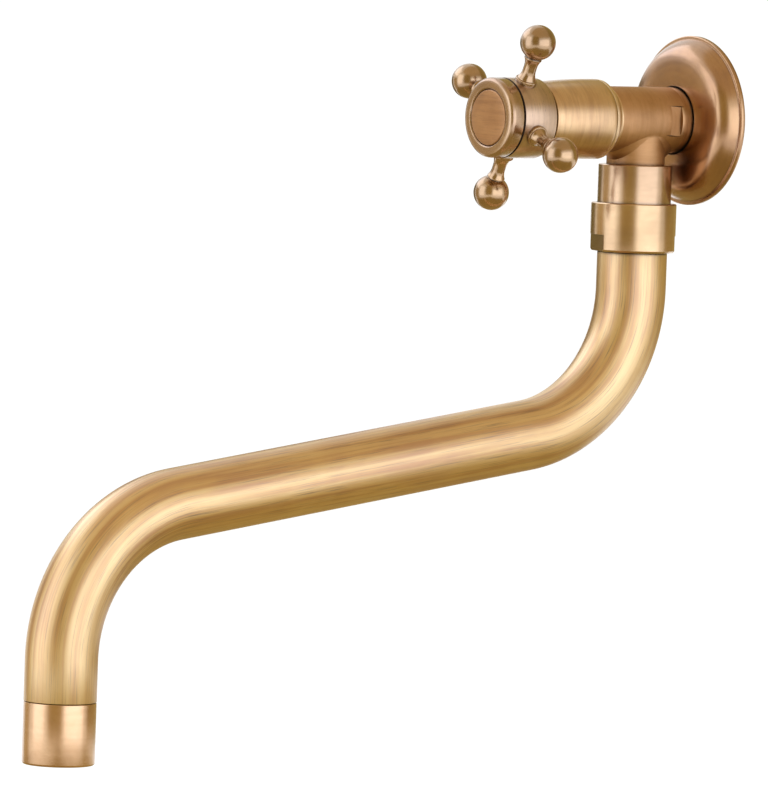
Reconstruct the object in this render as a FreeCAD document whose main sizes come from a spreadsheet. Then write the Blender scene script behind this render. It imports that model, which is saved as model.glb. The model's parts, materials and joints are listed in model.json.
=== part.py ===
import FreeCAD, Part
import math
import os
from types import SimpleNamespace

import Sketcher
from FreeCAD import Placement, Rotation, Vector

# Wall mounted pot filler with a cross handle and a spout that swings sideways.
# Millimetres. +Z is up and the wall is the plane y = 0, with the tap on its -Y side.
# The origin is where the axis of the tap's body meets the wall.
# Each piece is drawn in a frame of its own, where z runs along the piece:
#   on_axis    z runs out of the wall along the body's axis, y is up
#   with_arms  the same frame, turned with the handle's arms
#   at_outlet  z runs down the spout's swivel axis from the body's axis, y points out of the wall
#   at_nut     the same frame, turned with the swivel nut's flats
#   at_mouth   z runs down the axis of the water's exit from the end of the bent tube
#   along_arm  z runs out along one arm of the handle from the body's axis

SIZES = [
    # edges and gaps that many pieces share
    ("fine_edge", 0.3),
    ("hidden_edge", 0.4),
    ("spare_room", 0.3),
    ("slide_gap", 0.05),
    ("light_gap", 0.1),
    ("groove_clearance", 0.02),
    ("thread_gap", 0.05),
    ("thread_chamfer", 0.8),
    ("cut_past", 1.0),
    # wall flange
    ("escutcheon_radius", 30.3),
    ("escutcheon_height", 8.9),
    ("escutcheon_wall", 1.0),
    ("escutcheon_rim_width", 1.3),
    ("escutcheon_rim_height", 1.7),
    ("escutcheon_rim_edge", 0.5),
    ("escutcheon_face_radius", 22.5),
    ("escutcheon_face_drop", 1.0),
    ("escutcheon_hole_gap", 0.3),
    ("escutcheon_collar_depth", 5.4),
    ("flange_ring_distance", 6.0),
    ("flange_ring_wire", 0.55),
    # valve body
    ("inlet_thread_radius", 10.48),
    ("inlet_thread_length", 15.0),
    ("barrel_radius", 11.8),
    ("barrel_start", 3.0),
    ("inlet_bore_radius", 6.5),
    ("seat_port_radius", 5.5),
    ("seat_distance", 16.0),
    ("seat_thickness", 4.0),
    ("chamber_gap", 0.5),
    ("headwork_thread_length", 10.0),
    ("body_length", 44.98),
    ("flare_radius", 14.25),
    ("flare_length", 4.6),
    ("flare_land", 0.7),
    ("barrel_flat_start", 13.4),
    ("barrel_flat_length", 4.85),
    ("barrel_flat_depth", 1.32),
    ("outlet_distance", 25.06),
    ("neck_radius", 10.4),
    ("neck_length", 25.5),
    ("outlet_bore_radius", 7.0),
    ("saddle_fillet", 1.5),
    # outlet adapter and swivel nut
    ("collar_wall", 2.71),
    ("collar_overlap", 9.57),
    ("outlet_washer_thickness", 1.0),
    ("washer_gap", 0.2),
    ("adapter_web", 2.0),
    ("socket_depth", 11.7),
    ("nut_wall", 2.05),
    ("nut_length", 17.37),
    ("nut_chamfer", 0.7),
    ("nut_lip", 2.9),
    ("nut_relief_step", 1.26),
    ("nut_flat_length", 6.0),
    ("nut_flat_depth", 1.91),
    ("nut_flat_angle", 19.8),
    # ceramic headwork
    ("seal_height", 2.2),
    ("seal_lip", 0.9),
    ("disc_radius", 7.75),
    ("disc_thickness", 2.5),
    ("disc_film", 0.02),
    ("disc_port_inner", 2.4),
    ("disc_port_outer", 6.2),
    ("disc_port_angle", 80.0),
    ("disc_slot_depth", 1.2),
    ("housing_disc_gap", 0.3),
    ("housing_wall", 0.85),
    ("housing_start_gap", 0.6),
    ("housing_window_width", 11.0),
    ("housing_window_height", 4.6),
    ("housing_window_rise", 1.0),
    ("housing_thread_step", 1.5),
    ("housing_flange_width", 2.0),
    ("housing_flange_height", 4.2),
    ("gasket_thickness", 0.8),
    ("housing_hex_across", 19.0),
    ("housing_hex_height", 4.0),
    ("housing_neck_radius", 6.0),
    ("housing_neck_height", 2.0),
    ("castle_radius", 7.5),
    ("castle_base", 2.0),
    ("castle_height", 2.8),
    ("handle_travel", 90.0),
    ("stop_play", 2.0),
    ("stop_lug_angle", 60.0),
    ("stop_lug_radius", 7.2),
    ("stop_lug_root", 0.6),
    ("stop_ring_radius", 5.5),
    ("stop_ring_height", 2.2),
    # bonnet
    ("bonnet_seam", 0.17),
    ("bonnet_length", 25.55),
    ("bonnet_nose_step", 1.35),
    ("bonnet_bulge", 0.35),
    ("bonnet_wall", 1.2),
    ("bonnet_hole_radius", 6.6),
    ("bonnet_edge", 0.5),
    # spindle
    ("foot_step", 0.35),
    ("foot_width", 5.2),
    ("foot_height", 2.5),
    ("tongue_width", 2.8),
    ("tongue_edge", 0.2),
    ("shaft_radius", 4.15),
    ("shaft_flat_depth", 0.65),
    ("spindle_ring_wire", 0.55),
    ("spindle_ring_rise", 11.28),
    ("spindle_ring_spacing", 4.5),
    ("clip_thickness", 0.7),
    ("clip_radius", 5.6),
    ("clip_seat_depth", 0.75),
    ("spline_step", 0.15),
    ("spline_depth", 0.45),
    ("spline_notch_width", 0.7),
    ("spline_hub_notch_width", 0.66),
    ("spline_teeth", 20),
    # handle
    ("bonnet_to_hub", 1.24),
    ("hub_length", 14.43),
    ("hub_radius", 14.23),
    ("hub_recess_radius", 9.0),
    ("hub_web", 8.5),
    ("screw_radius", 1.95),
    ("screw_length", 10.0),
    ("screw_hole_spare", 0.6),
    ("screw_head_radius", 3.7),
    ("screw_head_height", 2.6),
    ("screw_socket_across", 3.0),
    ("screw_socket_depth", 1.56),
    ("screw_washer_radius", 5.5),
    ("screw_washer_thickness", 0.8),
    ("spindle_short_of_web", 0.5),
    ("arm_height", 8.31),
    ("arm_angle", 23.9),
    ("arm_count", 4),
    ("arm_stub_radius", 2.4),
    ("arm_stub_length", 4.2),
    ("arm_foot_radius", 3.9),
    ("arm_foot_height", 1.1),
    ("arm_foot_sink", 1.5),
    ("arm_saddle_gap", 0.03),
    ("arm_line", 0.2),
    ("arm_flare_radius", 3.3),
    ("arm_waist_radius", 2.35),
    ("arm_cup_radius", 3.15),
    ("arm_cup_height", 0.35),
    ("arm_groove_depth", 0.35),
    ("arm_groove_height", 0.25),
    ("arm_length", 15.22),
    ("ball_radius", 6.31),
    ("cap_height", 5.82),
    ("cap_shadow_gap", 0.33),
    ("cap_land_step", 2.03),
    ("cap_shoulder", 1.33),
    ("cap_round", 2.2),
    ("cap_taper", 0.1),
    ("cap_spigot_length", 2.8),
    ("cap_wall", 1.4),
    ("index_radius", 10.0),
    ("index_thickness", 1.0),
    ("index_chamfer", 0.45),
    ("index_gap", 0.06),
    ("index_sink", 0.14),
    # spout
    ("tube_radius", 12.5),
    ("tube_wall", 1.2),
    ("tube_seam", 0.3),
    ("tube_drop", 12.84),
    ("tube_first_bend", 52.95),
    ("tube_run", 152.77),
    ("tube_slope", 8.3),
    ("tube_second_bend", 52.87),
    ("tube_tip", 14.21),
    ("solder_gap", 0.05),
    ("tail_spigot_radius", 8.5),
    ("tail_spigot_gap", 0.05),
    ("tail_start_gap", 0.4),
    ("tail_journal_step", 1.1),
    ("tail_journal_gap", 0.08),
    ("tail_bore_radius", 6.0),
    ("tail_plug_length", 10.0),
    ("tail_plug_rim", 1.5),
    ("spout_ring_wire", 0.85),
    ("spout_ring_rise", 3.1),
    ("spout_ring_spacing", 4.4),
    ("split_ring_seat_depth", 0.6),
    ("split_ring_thickness", 3.41),
    ("split_ring_clearance", 0.4),
    ("split_ring_opening", 3.0),
    ("split_ring_gap", 0.5),
    ("axial_play", 0.05),
    # mouth
    ("ferrule_plug_length", 9.0),
    ("ferrule_thread_step", 1.6),
    ("ferrule_thread_length", 8.5),
    ("ferrule_wall", 1.7),
    ("aerator_length", 21.61),
    ("aerator_seam", 0.15),
    ("aerator_thread_spare", 0.9),
    ("aerator_edge", 0.6),
    ("aerator_lip", 0.7),
    ("aerator_lip_height", 1.4),
    ("insert_step", 0.5),
    ("insert_wall", 1.2),
    ("insert_floor", 1.2),
    ("insert_floor_depth", 2.4),
    ("aerator_washer_thickness", 1.7),
    ("aerator_washer_width", 2.75),
    ("screen_thickness", 0.3),
    ("screen_hole_radius", 0.75),
    ("screen_hole_pitch", 2.5),
    ("honeycomb_height", 4.0),
    ("honeycomb_rim", 1.6),
    ("honeycomb_cell_wall", 0.5),
    ("honeycomb_recess", 0.3),
]
HONEYCOMB_CIRCLES = 3


class Size:
    """A size of the sheet, or a sum or share of such sizes: its formula and its value."""

    def __init__(self, formula, value):
        self.formula = formula
        self.value = value

    def joined(self, sign, other, value):
        return Size(f"({self.formula} {sign} {as_size(other).formula})", value)

    def __add__(self, other):
        return self.joined("+", other, self.value + as_size(other).value)

    def __radd__(self, other):
        return as_size(other) + self

    def __sub__(self, other):
        return self.joined("-", other, self.value - as_size(other).value)

    def __rsub__(self, other):
        return as_size(other) - self

    def __mul__(self, other):
        return self.joined("*", other, self.value * as_size(other).value)

    def __rmul__(self, other):
        return as_size(other) * self

    def __truediv__(self, other):
        return self.joined("/", other, self.value / as_size(other).value)

    def __rtruediv__(self, other):
        return as_size(other) / self

    def __neg__(self):
        return 0.0 - self


def as_size(value):
    if isinstance(value, Size):
        return value
    return Size(repr(float(value)), float(value))


def sine(angle):
    angle = as_size(angle)
    return Size(f"sin({angle.formula})", math.sin(math.radians(angle.value)))


def cosine(angle):
    angle = as_size(angle)
    return Size(f"cos({angle.formula})", math.cos(math.radians(angle.value)))


def root(number):
    return Size(f"sqrt({number.formula})", math.sqrt(number.value))


def between(start, end, share):
    """The size that lies a share of the way from one size to another."""
    return start + (end - start) * share


doc = FreeCAD.newDocument("pot_filler")
sheet = doc.addObject("Spreadsheet::Sheet", "Sizes")
size = SimpleNamespace()
for row, (name, value) in enumerate(SIZES, start=1):
    sheet.set(f"A{row}", name)
    sheet.set(f"B{row}", str(value))
    sheet.setAlias(f"B{row}", name)
    setattr(size, name, Size(f"Sizes.{name}", float(value)))
doc.recompute()

# Headwork and body, from the ceramic discs outwards and from the seat forwards.
housing_bore = size.disc_radius + size.housing_disc_gap
housing_radius = housing_bore + size.housing_wall
chamber_radius = housing_radius + size.chamber_gap
headwork_thread = housing_radius + size.housing_thread_step
thread_bore = headwork_thread + size.thread_gap
housing_flange_radius = headwork_thread + size.housing_flange_width
foot_radius = size.disc_radius - size.foot_step
seal_top = size.seat_distance + size.seal_height
fixed_disc_top = seal_top + size.disc_thickness
moving_disc_bottom = fixed_disc_top + size.disc_film
moving_disc_top = moving_disc_bottom + size.disc_thickness
foot_top = moving_disc_top + size.foot_height
housing_ceiling = foot_top + size.spare_room
headwork_thread_start = size.body_length - size.headwork_thread_length
flange_bottom = size.body_length + size.gasket_thickness
flange_top = flange_bottom + size.housing_flange_height
hex_top = flange_top + size.housing_hex_height
castle_bottom = hex_top + size.housing_neck_height
castle_floor = castle_bottom + size.castle_base
castle_gap_angle = size.handle_travel + size.stop_lug_angle + size.stop_play
stop_ring_bottom = castle_floor + size.spare_room
stop_ring_top = stop_ring_bottom + size.stop_ring_height

# Spindle and handle, from the bonnet forwards.
shaft_bore = size.shaft_radius + size.slide_gap
shaft_flat = size.shaft_radius - size.shaft_flat_depth
spindle_rings = [
    foot_top + size.spindle_ring_rise,
    foot_top + size.spindle_ring_rise + size.spindle_ring_spacing,
]
clip_bottom = stop_ring_top + size.light_gap
clip_top = clip_bottom + size.clip_thickness
clip_seat = size.shaft_radius - size.clip_seat_depth
spline_radius = size.shaft_radius - size.spline_step
spline_root = spline_radius - size.spline_depth
bonnet_back = size.body_length + size.bonnet_seam
bonnet_front = bonnet_back + size.bonnet_length
hub_back = bonnet_front + size.bonnet_to_hub
hub_front = hub_back + size.hub_length
web_front = hub_back + size.hub_web
spindle_end = web_front - size.spindle_short_of_web
washer_front = web_front + size.screw_washer_thickness
arm_distance = hub_back + size.arm_height
cap_face = hub_front + size.cap_height
index_floor = cap_face - size.index_sink - size.index_thickness

# Outlet, from the neck outwards and down.
neck_thread_bore = size.neck_radius + size.thread_gap
collar_radius = neck_thread_bore + size.collar_wall
collar_thread_bore = collar_radius + size.thread_gap
nut_radius = collar_thread_bore + size.nut_wall
nut_relief = collar_radius - size.nut_relief_step
socket_radius = size.tail_spigot_radius + size.tail_spigot_gap
journal_radius = size.tail_spigot_radius + size.tail_journal_step
split_ring_seat = size.tail_spigot_radius - size.split_ring_seat_depth
split_ring_radius = nut_relief - size.split_ring_clearance
web_start = size.neck_length + size.outlet_washer_thickness
web_end = web_start + size.adapter_web
adapter_end = web_end + size.socket_depth
ring_top = adapter_end + size.split_ring_gap
ring_bottom = ring_top + size.split_ring_thickness
ledge = ring_bottom + size.axial_play
nut_end = ledge + size.nut_lip
nut_start = nut_end - size.nut_length
tail_start = web_end + size.tail_start_gap
spout_rings = [
    tail_start + size.spout_ring_rise,
    tail_start + size.spout_ring_rise + size.spout_ring_spacing,
]

# Bent tube, from the nut to the mouth.
tube_start = nut_end + size.tube_seam
tail_end = tube_start + size.tail_plug_length
plug_radius = size.tube_radius - size.tube_wall - size.solder_gap
turn = 90.0 - size.tube_slope
bends = size.tube_first_bend + size.tube_second_bend
reach = bends * (1.0 - cosine(turn)) + size.tube_run * sine(turn)
bend_start = nut_end + size.tube_drop
tube_end = bend_start + bends * sine(turn) + size.tube_run * cosine(turn) + size.tube_tip

# Mouth, from the end of the tube down.
ferrule_thread = size.tube_radius - size.ferrule_thread_step
insert_radius = ferrule_thread - size.insert_step
insert_outside = insert_radius - size.slide_gap
insert_bore = insert_outside - size.insert_wall
insert_top = size.ferrule_thread_length + size.aerator_washer_thickness
insert_bottom = size.aerator_length - size.aerator_lip_height
insert_floor_top = insert_top + size.insert_floor_depth
grid_radius = insert_bore - size.slide_gap

parts = []


def bind(thing, prop, value):
    thing.setExpression(prop, as_size(value).formula)


def spot(x, y):
    return Vector(as_size(x).value, as_size(y).value, 0)


def keep(part, label):
    part.Label = label
    parts.append(part)
    return part


def new_body(label, frame):
    body = doc.addObject("PartDesign::Body", label)
    frame(body)
    return keep(body, label)


def on_axis(thing, turned_by=0.0):
    upright = Rotation(Vector(1, 0, 0), 90)
    thing.Placement = Placement(Vector(), upright * Rotation(Vector(0, 0, 1), -turned_by))


def with_arms(thing):
    on_axis(thing, size.arm_angle.value)


def at_outlet(thing, turned_by=0.0):
    down = Rotation(Vector(1, 0, 0), 180)
    thing.Placement = Placement(Vector(), down * Rotation(Vector(0, 0, 1), turned_by))
    bind(thing, "Placement.Base.y", -size.outlet_distance)


def at_nut(thing):
    at_outlet(thing, size.nut_flat_angle.value)


def at_mouth(thing):
    at_outlet(thing)
    bind(thing, "Placement.Base.y", -(size.outlet_distance + reach))
    bind(thing, "Placement.Base.z", -tube_end)


def along_arm(number):
    def frame(thing):
        angle = size.arm_angle + 360.0 * number / size.arm_count
        thing.Placement = Placement(Vector(), Rotation(Vector(0, 1, 0), angle.value))
        bind(thing, "Placement.Base.y", -arm_distance)
        bind(thing, "Placement.Rotation.Angle", angle)

    return frame


def new_sketch(body, plane, start, turned_by=0.0):
    sketch = body.newObject("Sketcher::SketchObject", body.Label + "_sketch")
    support = [feature for feature in body.Origin.OriginFeatures if feature.Role == plane]
    sketch.AttachmentSupport = (support[0], [""])
    sketch.MapMode = "FlatFace"
    start = as_size(start)
    angle = as_size(turned_by)
    sketch.AttachmentOffset = Placement(Vector(0, 0, start.value), Rotation(Vector(0, 0, 1), angle.value))
    bind(sketch, "AttachmentOffset.Base.z", start)
    bind(sketch, "AttachmentOffset.Rotation.Angle", angle)
    return sketch


def pin_point(sketch, index, end, x, y):
    """Hold one point of a sketch at x and y from the sketch's origin."""
    for kind, axis, value in (("DistanceX", -2, as_size(x)), ("DistanceY", -1, as_size(y))):
        if value.value == 0:
            sketch.addConstraint(Sketcher.Constraint("PointOnObject", index, end, axis))
            continue
        held = sketch.addConstraint(Sketcher.Constraint(kind, -1, 1, index, end, value.value))
        bind(sketch, f"Constraints[{held}]", value)


def draw_side(sketch, start, end, via=None):
    """Draw a line, or an arc through via. Return its number and its own start and end."""
    if via is None:
        index = sketch.addGeometry(Part.LineSegment(spot(*start), spot(*end)))
    else:
        index = sketch.addGeometry(Part.Arc(spot(*start), spot(*via), spot(*end)))
    first_gap = (sketch.getPoint(index, 1) - spot(*start)).Length
    second_gap = (sketch.getPoint(index, 2) - spot(*start)).Length
    if first_gap < second_gap:
        return index, 1, 2
    return index, 2, 1


def pin_side(sketch, side, end, via=None):
    pin_point(sketch, side[0], side[2], *end)
    if via is not None:
        middle = sketch.addGeometry(Part.Point(spot(*via)), True)
        pin_point(sketch, middle, 1, *via)
        sketch.addConstraint(Sketcher.Constraint("PointOnObject", middle, 1, side[0]))


def join_sides(sketch, side, following):
    sketch.addConstraint(Sketcher.Constraint("Coincident", side[0], side[2], following[0], following[1]))


def draw_path(sketch, start, stops):
    """An open path. A stop is (x, y), or (x, y, via_x, via_y) if an arc leads to it."""
    before = None
    for stop in stops:
        via = stop[2:] or None
        side = draw_side(sketch, start, stop[:2], via)
        if before is None:
            pin_point(sketch, side[0], side[1], *start)
        else:
            join_sides(sketch, before, side)
        pin_side(sketch, side, stop[:2], via)
        before = side
        start = stop[:2]


def loop(corners):
    """A closed outline. A corner is (x, y), or (x, y, via_x, via_y) if an arc leads to it."""

    def draw(sketch):
        sides = []
        for start, corner in zip([corners[-1]] + corners[:-1], corners):
            sides.append(draw_side(sketch, start[:2], corner[:2], corner[2:] or None))
        for side, following in zip(sides, sides[1:] + sides[:1]):
            join_sides(sketch, side, following)
        for side, corner in zip(sides, corners):
            pin_side(sketch, side, corner[:2], corner[2:] or None)

    return draw


def circle(x, y, radius):
    def draw(sketch):
        index = sketch.addGeometry(Part.Circle(spot(x, y), Vector(0, 0, 1), as_size(radius).value))
        pin_point(sketch, index, 3, x, y)
        held = sketch.addConstraint(Sketcher.Constraint("Radius", index, as_size(radius).value))
        bind(sketch, f"Constraints[{held}]", radius)

    return draw


def rectangle(low_x, low_y, high_x, high_y):
    return loop([(low_x, low_y), (high_x, low_y), (high_x, high_y), (low_x, high_y)])


def hexagon(x, y, across, turned_by=0.0):
    corner = across / math.sqrt(3)
    corners = []
    for number in range(6):
        angle = math.radians(60.0 * number + turned_by)
        across_x = corner * round(math.cos(angle), 12)
        across_y = corner * round(math.sin(angle), 12)
        corners.append((x + across_x, y + across_y))
    return loop(corners)


def sector(inner, outer, middle, angle):
    """A piece of a flat ring about the axis: its middle direction and its opening angle."""
    first = middle - angle / 2.0
    last = middle + angle / 2.0

    def at(radius, direction):
        return radius * cosine(direction), radius * sine(direction)

    return loop([
        at(inner, first) + at(inner, middle),
        at(outer, first),
        at(outer, last) + at(outer, middle),
        at(inner, last),
    ])


def both_sides(inner, outer, half):
    """Two rectangles that face each other across the axis."""
    return [rectangle(inner, -half, outer, half), rectangle(-outer, -half, -inner, half)]


def revolve(body, corners, kind="Revolution"):
    sketch = new_sketch(body, "XZ_Plane", 0.0)
    loop(corners)(sketch)
    feature = body.newObject("PartDesign::" + kind, body.Label + "_turned")
    feature.Profile = sketch
    feature.ReferenceAxis = (sketch, ["V_Axis"])
    feature.Angle = 360.0
    return feature


def extrude(body, shapes, start, length, plane="XY_Plane", kind="Pad", both_ways=False, turned_by=0.0):
    """Pad the shapes from a plane moved by start along that plane's normal."""
    sketch = new_sketch(body, plane, start, turned_by)
    for draw in shapes:
        draw(sketch)
    feature = body.newObject("PartDesign::" + kind, body.Label + "_" + kind.lower())
    feature.Profile = sketch
    feature.Reversed = kind == "Pocket"
    feature.Midplane = both_ways
    bind(feature, "Length", length)
    return feature


def cut(body, shapes, start, length, **options):
    """Take the shapes away instead of adding them."""
    return extrude(body, shapes, start, length, kind="Pocket", **options)


def repeat_around(body, feature, count):
    pattern = body.newObject("PartDesign::PolarPattern", body.Label + "_pattern")
    pattern.Originals = [feature]
    axis = [datum for datum in body.Origin.OriginFeatures if datum.Role == "Z_Axis"]
    pattern.Axis = (axis[0], [""])
    pattern.Angle = 360.0
    bind(pattern, "Occurrences", count)
    body.Tip = pattern


def turned(label, frame, corners):
    body = new_body(label, frame)
    revolve(body, corners)
    return body


def ring(label, frame, inner, outer, start, end):
    """A plain flat ring, such as a washer."""
    return turned(label, frame, [(inner, start), (outer, start), (outer, end), (inner, end)])


def wire_rings(label, frame, middle_radius, wire, heights):
    """Rubber rings of round section, one at each height."""
    rings = []
    for height in heights:
        torus = doc.addObject("Part::Torus", label + "_ring")
        bind(torus, "Radius1", middle_radius)
        bind(torus, "Radius2", wire)
        bind(torus, "Placement.Base.z", height)
        rings.append(torus)
    group = doc.addObject("Part::Compound", label)
    group.Links = rings
    frame(group)
    keep(group, label)


def ring_groove(radius, wire, height, stands_out=0.0):
    """Four corners of the square groove for a rubber ring, from its lower edge up."""
    low = height - wire - size.spare_room / 2.0
    high = height + wire + size.spare_room / 2.0
    floor = radius - wire * 2.0 + stands_out - size.groove_clearance
    return [(radius, low), (floor, low), (floor, high), (radius, high)]


def split(body, opening, outer, start, thickness):
    """Open a ring on its +x side."""
    half = opening / 2.0
    cut(body, [rectangle(0.0, -half, outer + size.cut_past, half)], start, thickness)


def make_escutcheon():
    """A spun dome with a stepped rim, open at the wall, and a collar that slides on the barrel."""
    outer = size.escutcheon_radius
    wall = size.escutcheon_wall
    top = size.escutcheon_height
    rim_top = size.escutcheon_rim_height
    rim = outer - size.escutcheon_rim_width
    edge = size.escutcheon_rim_edge
    face = size.escutcheon_face_radius
    drop = size.escutcheon_face_drop
    face_top = top - drop
    hole = size.barrel_radius + size.escutcheon_hole_gap
    collar_end = top - size.escutcheon_collar_depth
    bend_x = between(face, rim, 0.78)
    bend_z = between(rim_top, face_top, 0.64)
    middle = between(hole, face, 0.5)
    middle_top = top - drop * 0.3
    turned("escutcheon", on_axis, [
        (outer, 0.0),
        (outer, rim_top - edge),
        (outer - edge, rim_top),
        (rim, rim_top + edge / 2.0),
        (face, face_top, bend_x, bend_z),
        (hole + edge, top, middle, middle_top),
        (hole, top - edge),
        (hole, collar_end),
        (hole + wall, collar_end),
        (hole + wall, top - wall),
        (face - wall * 0.3, face_top - wall, middle, middle_top - wall),
        (rim - wall, rim_top, bend_x - wall * 0.75, bend_z - wall * 0.65),
        (rim - wall, 0.0),
    ])


def make_flange_ring():
    """The ring sits in the barrel's groove, inside the flange's collar."""
    wire = size.flange_ring_wire
    middle = size.barrel_radius + size.escutcheon_hole_gap - wire
    wire_rings("escutcheon_oring", on_axis, middle, wire, [size.flange_ring_distance])


def barrel_outline():
    """The thread, the barrel with its ring groove, and the flare that meets the bonnet."""
    barrel = size.barrel_radius
    flare = size.flare_radius
    front = size.body_length
    thread = size.inlet_thread_radius
    back = -size.inlet_thread_length
    chamfer = size.thread_chamfer
    flare_start = front - size.flare_length
    land = front - size.flare_land
    return [
        (0.0, back),
        (thread - chamfer, back),
        (thread, back + chamfer),
        (thread, size.barrel_start),
        (barrel, size.barrel_start),
        *ring_groove(barrel, size.flange_ring_wire, size.flange_ring_distance, size.escutcheon_hole_gap),
        (barrel, flare_start),
        (flare, land, between(barrel, flare, 0.28), between(flare_start, land, 0.62)),
        (flare, front),
        (0.0, front),
    ]


def water_way_outline():
    """The inlet bore, the seat's port, the headwork's chamber and its thread."""
    bore = size.inlet_bore_radius
    port = size.seat_port_radius
    back = -size.inlet_thread_length
    seat_back = size.seat_distance - size.seat_thickness
    chamber = chamber_radius
    return [
        (0.0, back),
        (bore, back),
        (bore, seat_back - (bore - port)),
        (port, seat_back),
        (port, size.seat_distance),
        (chamber, size.seat_distance),
        (chamber, headwork_thread_start),
        (thread_bore, headwork_thread_start + (thread_bore - chamber)),
        (thread_bore, size.body_length),
        (0.0, size.body_length),
    ]


def fillet_saddle(body, neck):
    """Round the curve where the outlet neck leaves the barrel."""
    doc.recompute()
    crease = []
    for number, edge in enumerate(neck.Shape.Edges, start=1):
        if edge.Curve.TypeId == "Part::GeomBSplineCurve":
            crease.append(f"Edge{number}")
    fillet = body.newObject("PartDesign::Fillet", "saddle_fillet")
    fillet.Base = (neck, crease)
    bind(fillet, "Radius", size.saddle_fillet)


def make_valve_body():
    """A cast tee: the outlet neck grows out of the barrel through a rounded saddle."""
    body = new_body("valve_body", on_axis)
    across = {"plane": "XZ_Plane"}
    revolve(body, barrel_outline())
    neck_circle = circle(0.0, size.outlet_distance, size.neck_radius)
    neck = extrude(body, [neck_circle], 0.0, size.neck_length, **across)
    fillet_saddle(body, neck)
    revolve(body, water_way_outline(), "Groove")
    outlet_circle = circle(0.0, size.outlet_distance, size.outlet_bore_radius)
    cut(body, [outlet_circle], 0.0, size.neck_length, **across)
    past = size.barrel_radius + size.cut_past
    flats = both_sides(size.barrel_radius - size.barrel_flat_depth, past, past)
    cut(body, flats, size.barrel_flat_start, size.barrel_flat_length)


def make_outlet_adapter():
    outer = collar_radius
    start = size.neck_length - size.collar_overlap
    turned("outlet_adapter", at_outlet, [
        (neck_thread_bore, start),
        (outer - size.fine_edge, start),
        (outer, start + size.fine_edge),
        (outer, adapter_end - size.thread_chamfer),
        (outer - size.thread_chamfer, adapter_end),
        (socket_radius + size.hidden_edge, adapter_end),
        (socket_radius, adapter_end - size.hidden_edge),
        (socket_radius, web_end),
        (size.outlet_bore_radius, web_end),
        (size.outlet_bore_radius, web_start),
        (neck_thread_bore, web_start),
    ])


def make_outlet_washer():
    outer = size.neck_radius - size.washer_gap
    ring("outlet_washer", at_outlet, size.outlet_bore_radius, outer, size.neck_length, web_start)


def make_swivel_nut():
    """Its inner lip holds the spout, and two flats take the wrench."""
    outer = nut_radius
    thread_end = adapter_end + size.spare_room
    lip = journal_radius + size.tail_journal_gap
    body = turned("swivel_nut", at_nut, [
        (collar_thread_bore, nut_start),
        (outer - size.fine_edge, nut_start),
        (outer, nut_start + size.fine_edge),
        (outer, nut_end - size.nut_chamfer),
        (outer - size.nut_chamfer, nut_end),
        (lip, nut_end),
        (lip, ledge),
        (nut_relief, ledge),
        (nut_relief, thread_end),
        (collar_thread_bore, thread_end),
    ])
    flat = outer - size.nut_flat_depth
    past = outer + size.cut_past
    flats = [rectangle(-past, flat, past, past), rectangle(-past, -past, past, -flat)]
    cut(body, flats, nut_end - size.nut_flat_length, size.nut_flat_length)


def make_seat_seal():
    """The rubber ring stands on the seat and carries the fixed disc."""
    inner = size.seat_port_radius
    outer = size.disc_radius
    turned("seat_seal", with_arms, [
        (inner, size.seat_distance),
        (outer, size.seat_distance),
        (outer, seal_top),
        (inner + size.seal_lip, seal_top),
        (inner, seal_top - size.hidden_edge),
    ])


def make_disc(label, bottom, direction):
    """A ceramic disc with two ports. The pair is shut when their ports stand a quarter turn apart."""
    body = new_body(label, with_arms)
    port = (size.disc_port_inner, size.disc_port_outer)
    extrude(body, [
        circle(0.0, 0.0, size.disc_radius),
        sector(*port, direction, size.disc_port_angle),
        sector(*port, direction + 180.0, size.disc_port_angle),
    ], bottom, size.disc_thickness)
    return body


def make_discs():
    make_disc("fixed_ceramic_disc", seal_top, 0.0)
    moving = make_disc("moving_ceramic_disc", moving_disc_bottom, 90.0)
    half = size.tongue_width / 2.0 + size.light_gap
    slots = both_sides(size.shaft_radius, size.disc_radius + size.cut_past, half)
    cut(moving, slots, moving_disc_top - size.disc_slot_depth, size.disc_slot_depth)


def make_headwork_housing():
    """The discs sit in its lower end, it screws into the body, and its castle stops the handle."""
    thread = headwork_thread
    thread_start = headwork_thread_start + size.housing_thread_step
    start = size.seat_distance + size.housing_start_gap
    body = turned("headwork_housing", with_arms, [
        (housing_bore, start),
        (housing_radius, start),
        (housing_radius, thread_start - (thread - housing_radius)),
        (thread, thread_start),
        (thread, flange_bottom),
        (housing_flange_radius, flange_bottom),
        (housing_flange_radius, flange_top),
        (size.housing_neck_radius, flange_top),
        (size.housing_neck_radius, castle_bottom),
        (size.castle_radius, castle_bottom),
        (size.castle_radius, castle_floor),
        (shaft_bore, castle_floor),
        (shaft_bore, housing_ceiling),
        (housing_bore, housing_ceiling),
    ])
    wrench_hexagon = hexagon(0.0, 0.0, size.housing_hex_across)
    extrude(body, [wrench_hexagon, circle(0.0, 0.0, shaft_bore)], flange_top, size.housing_hex_height)
    wall_inner = size.stop_ring_radius + size.hidden_edge
    wall = sector(wall_inner, size.castle_radius, 180.0, 360.0 - castle_gap_angle)
    extrude(body, [wall], castle_floor, size.castle_height)
    half = size.housing_window_width / 2.0
    low = moving_disc_bottom + size.housing_window_rise
    window = rectangle(-half, low, half, low + size.housing_window_height)
    through = (housing_radius + size.cut_past) * 2.0
    cut(body, [window], 0.0, through, plane="XZ_Plane", both_ways=True)


def make_headwork_gasket():
    inner = headwork_thread + size.light_gap
    ring("headwork_gasket", on_axis, inner, housing_flange_radius, size.body_length, flange_bottom)


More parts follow.
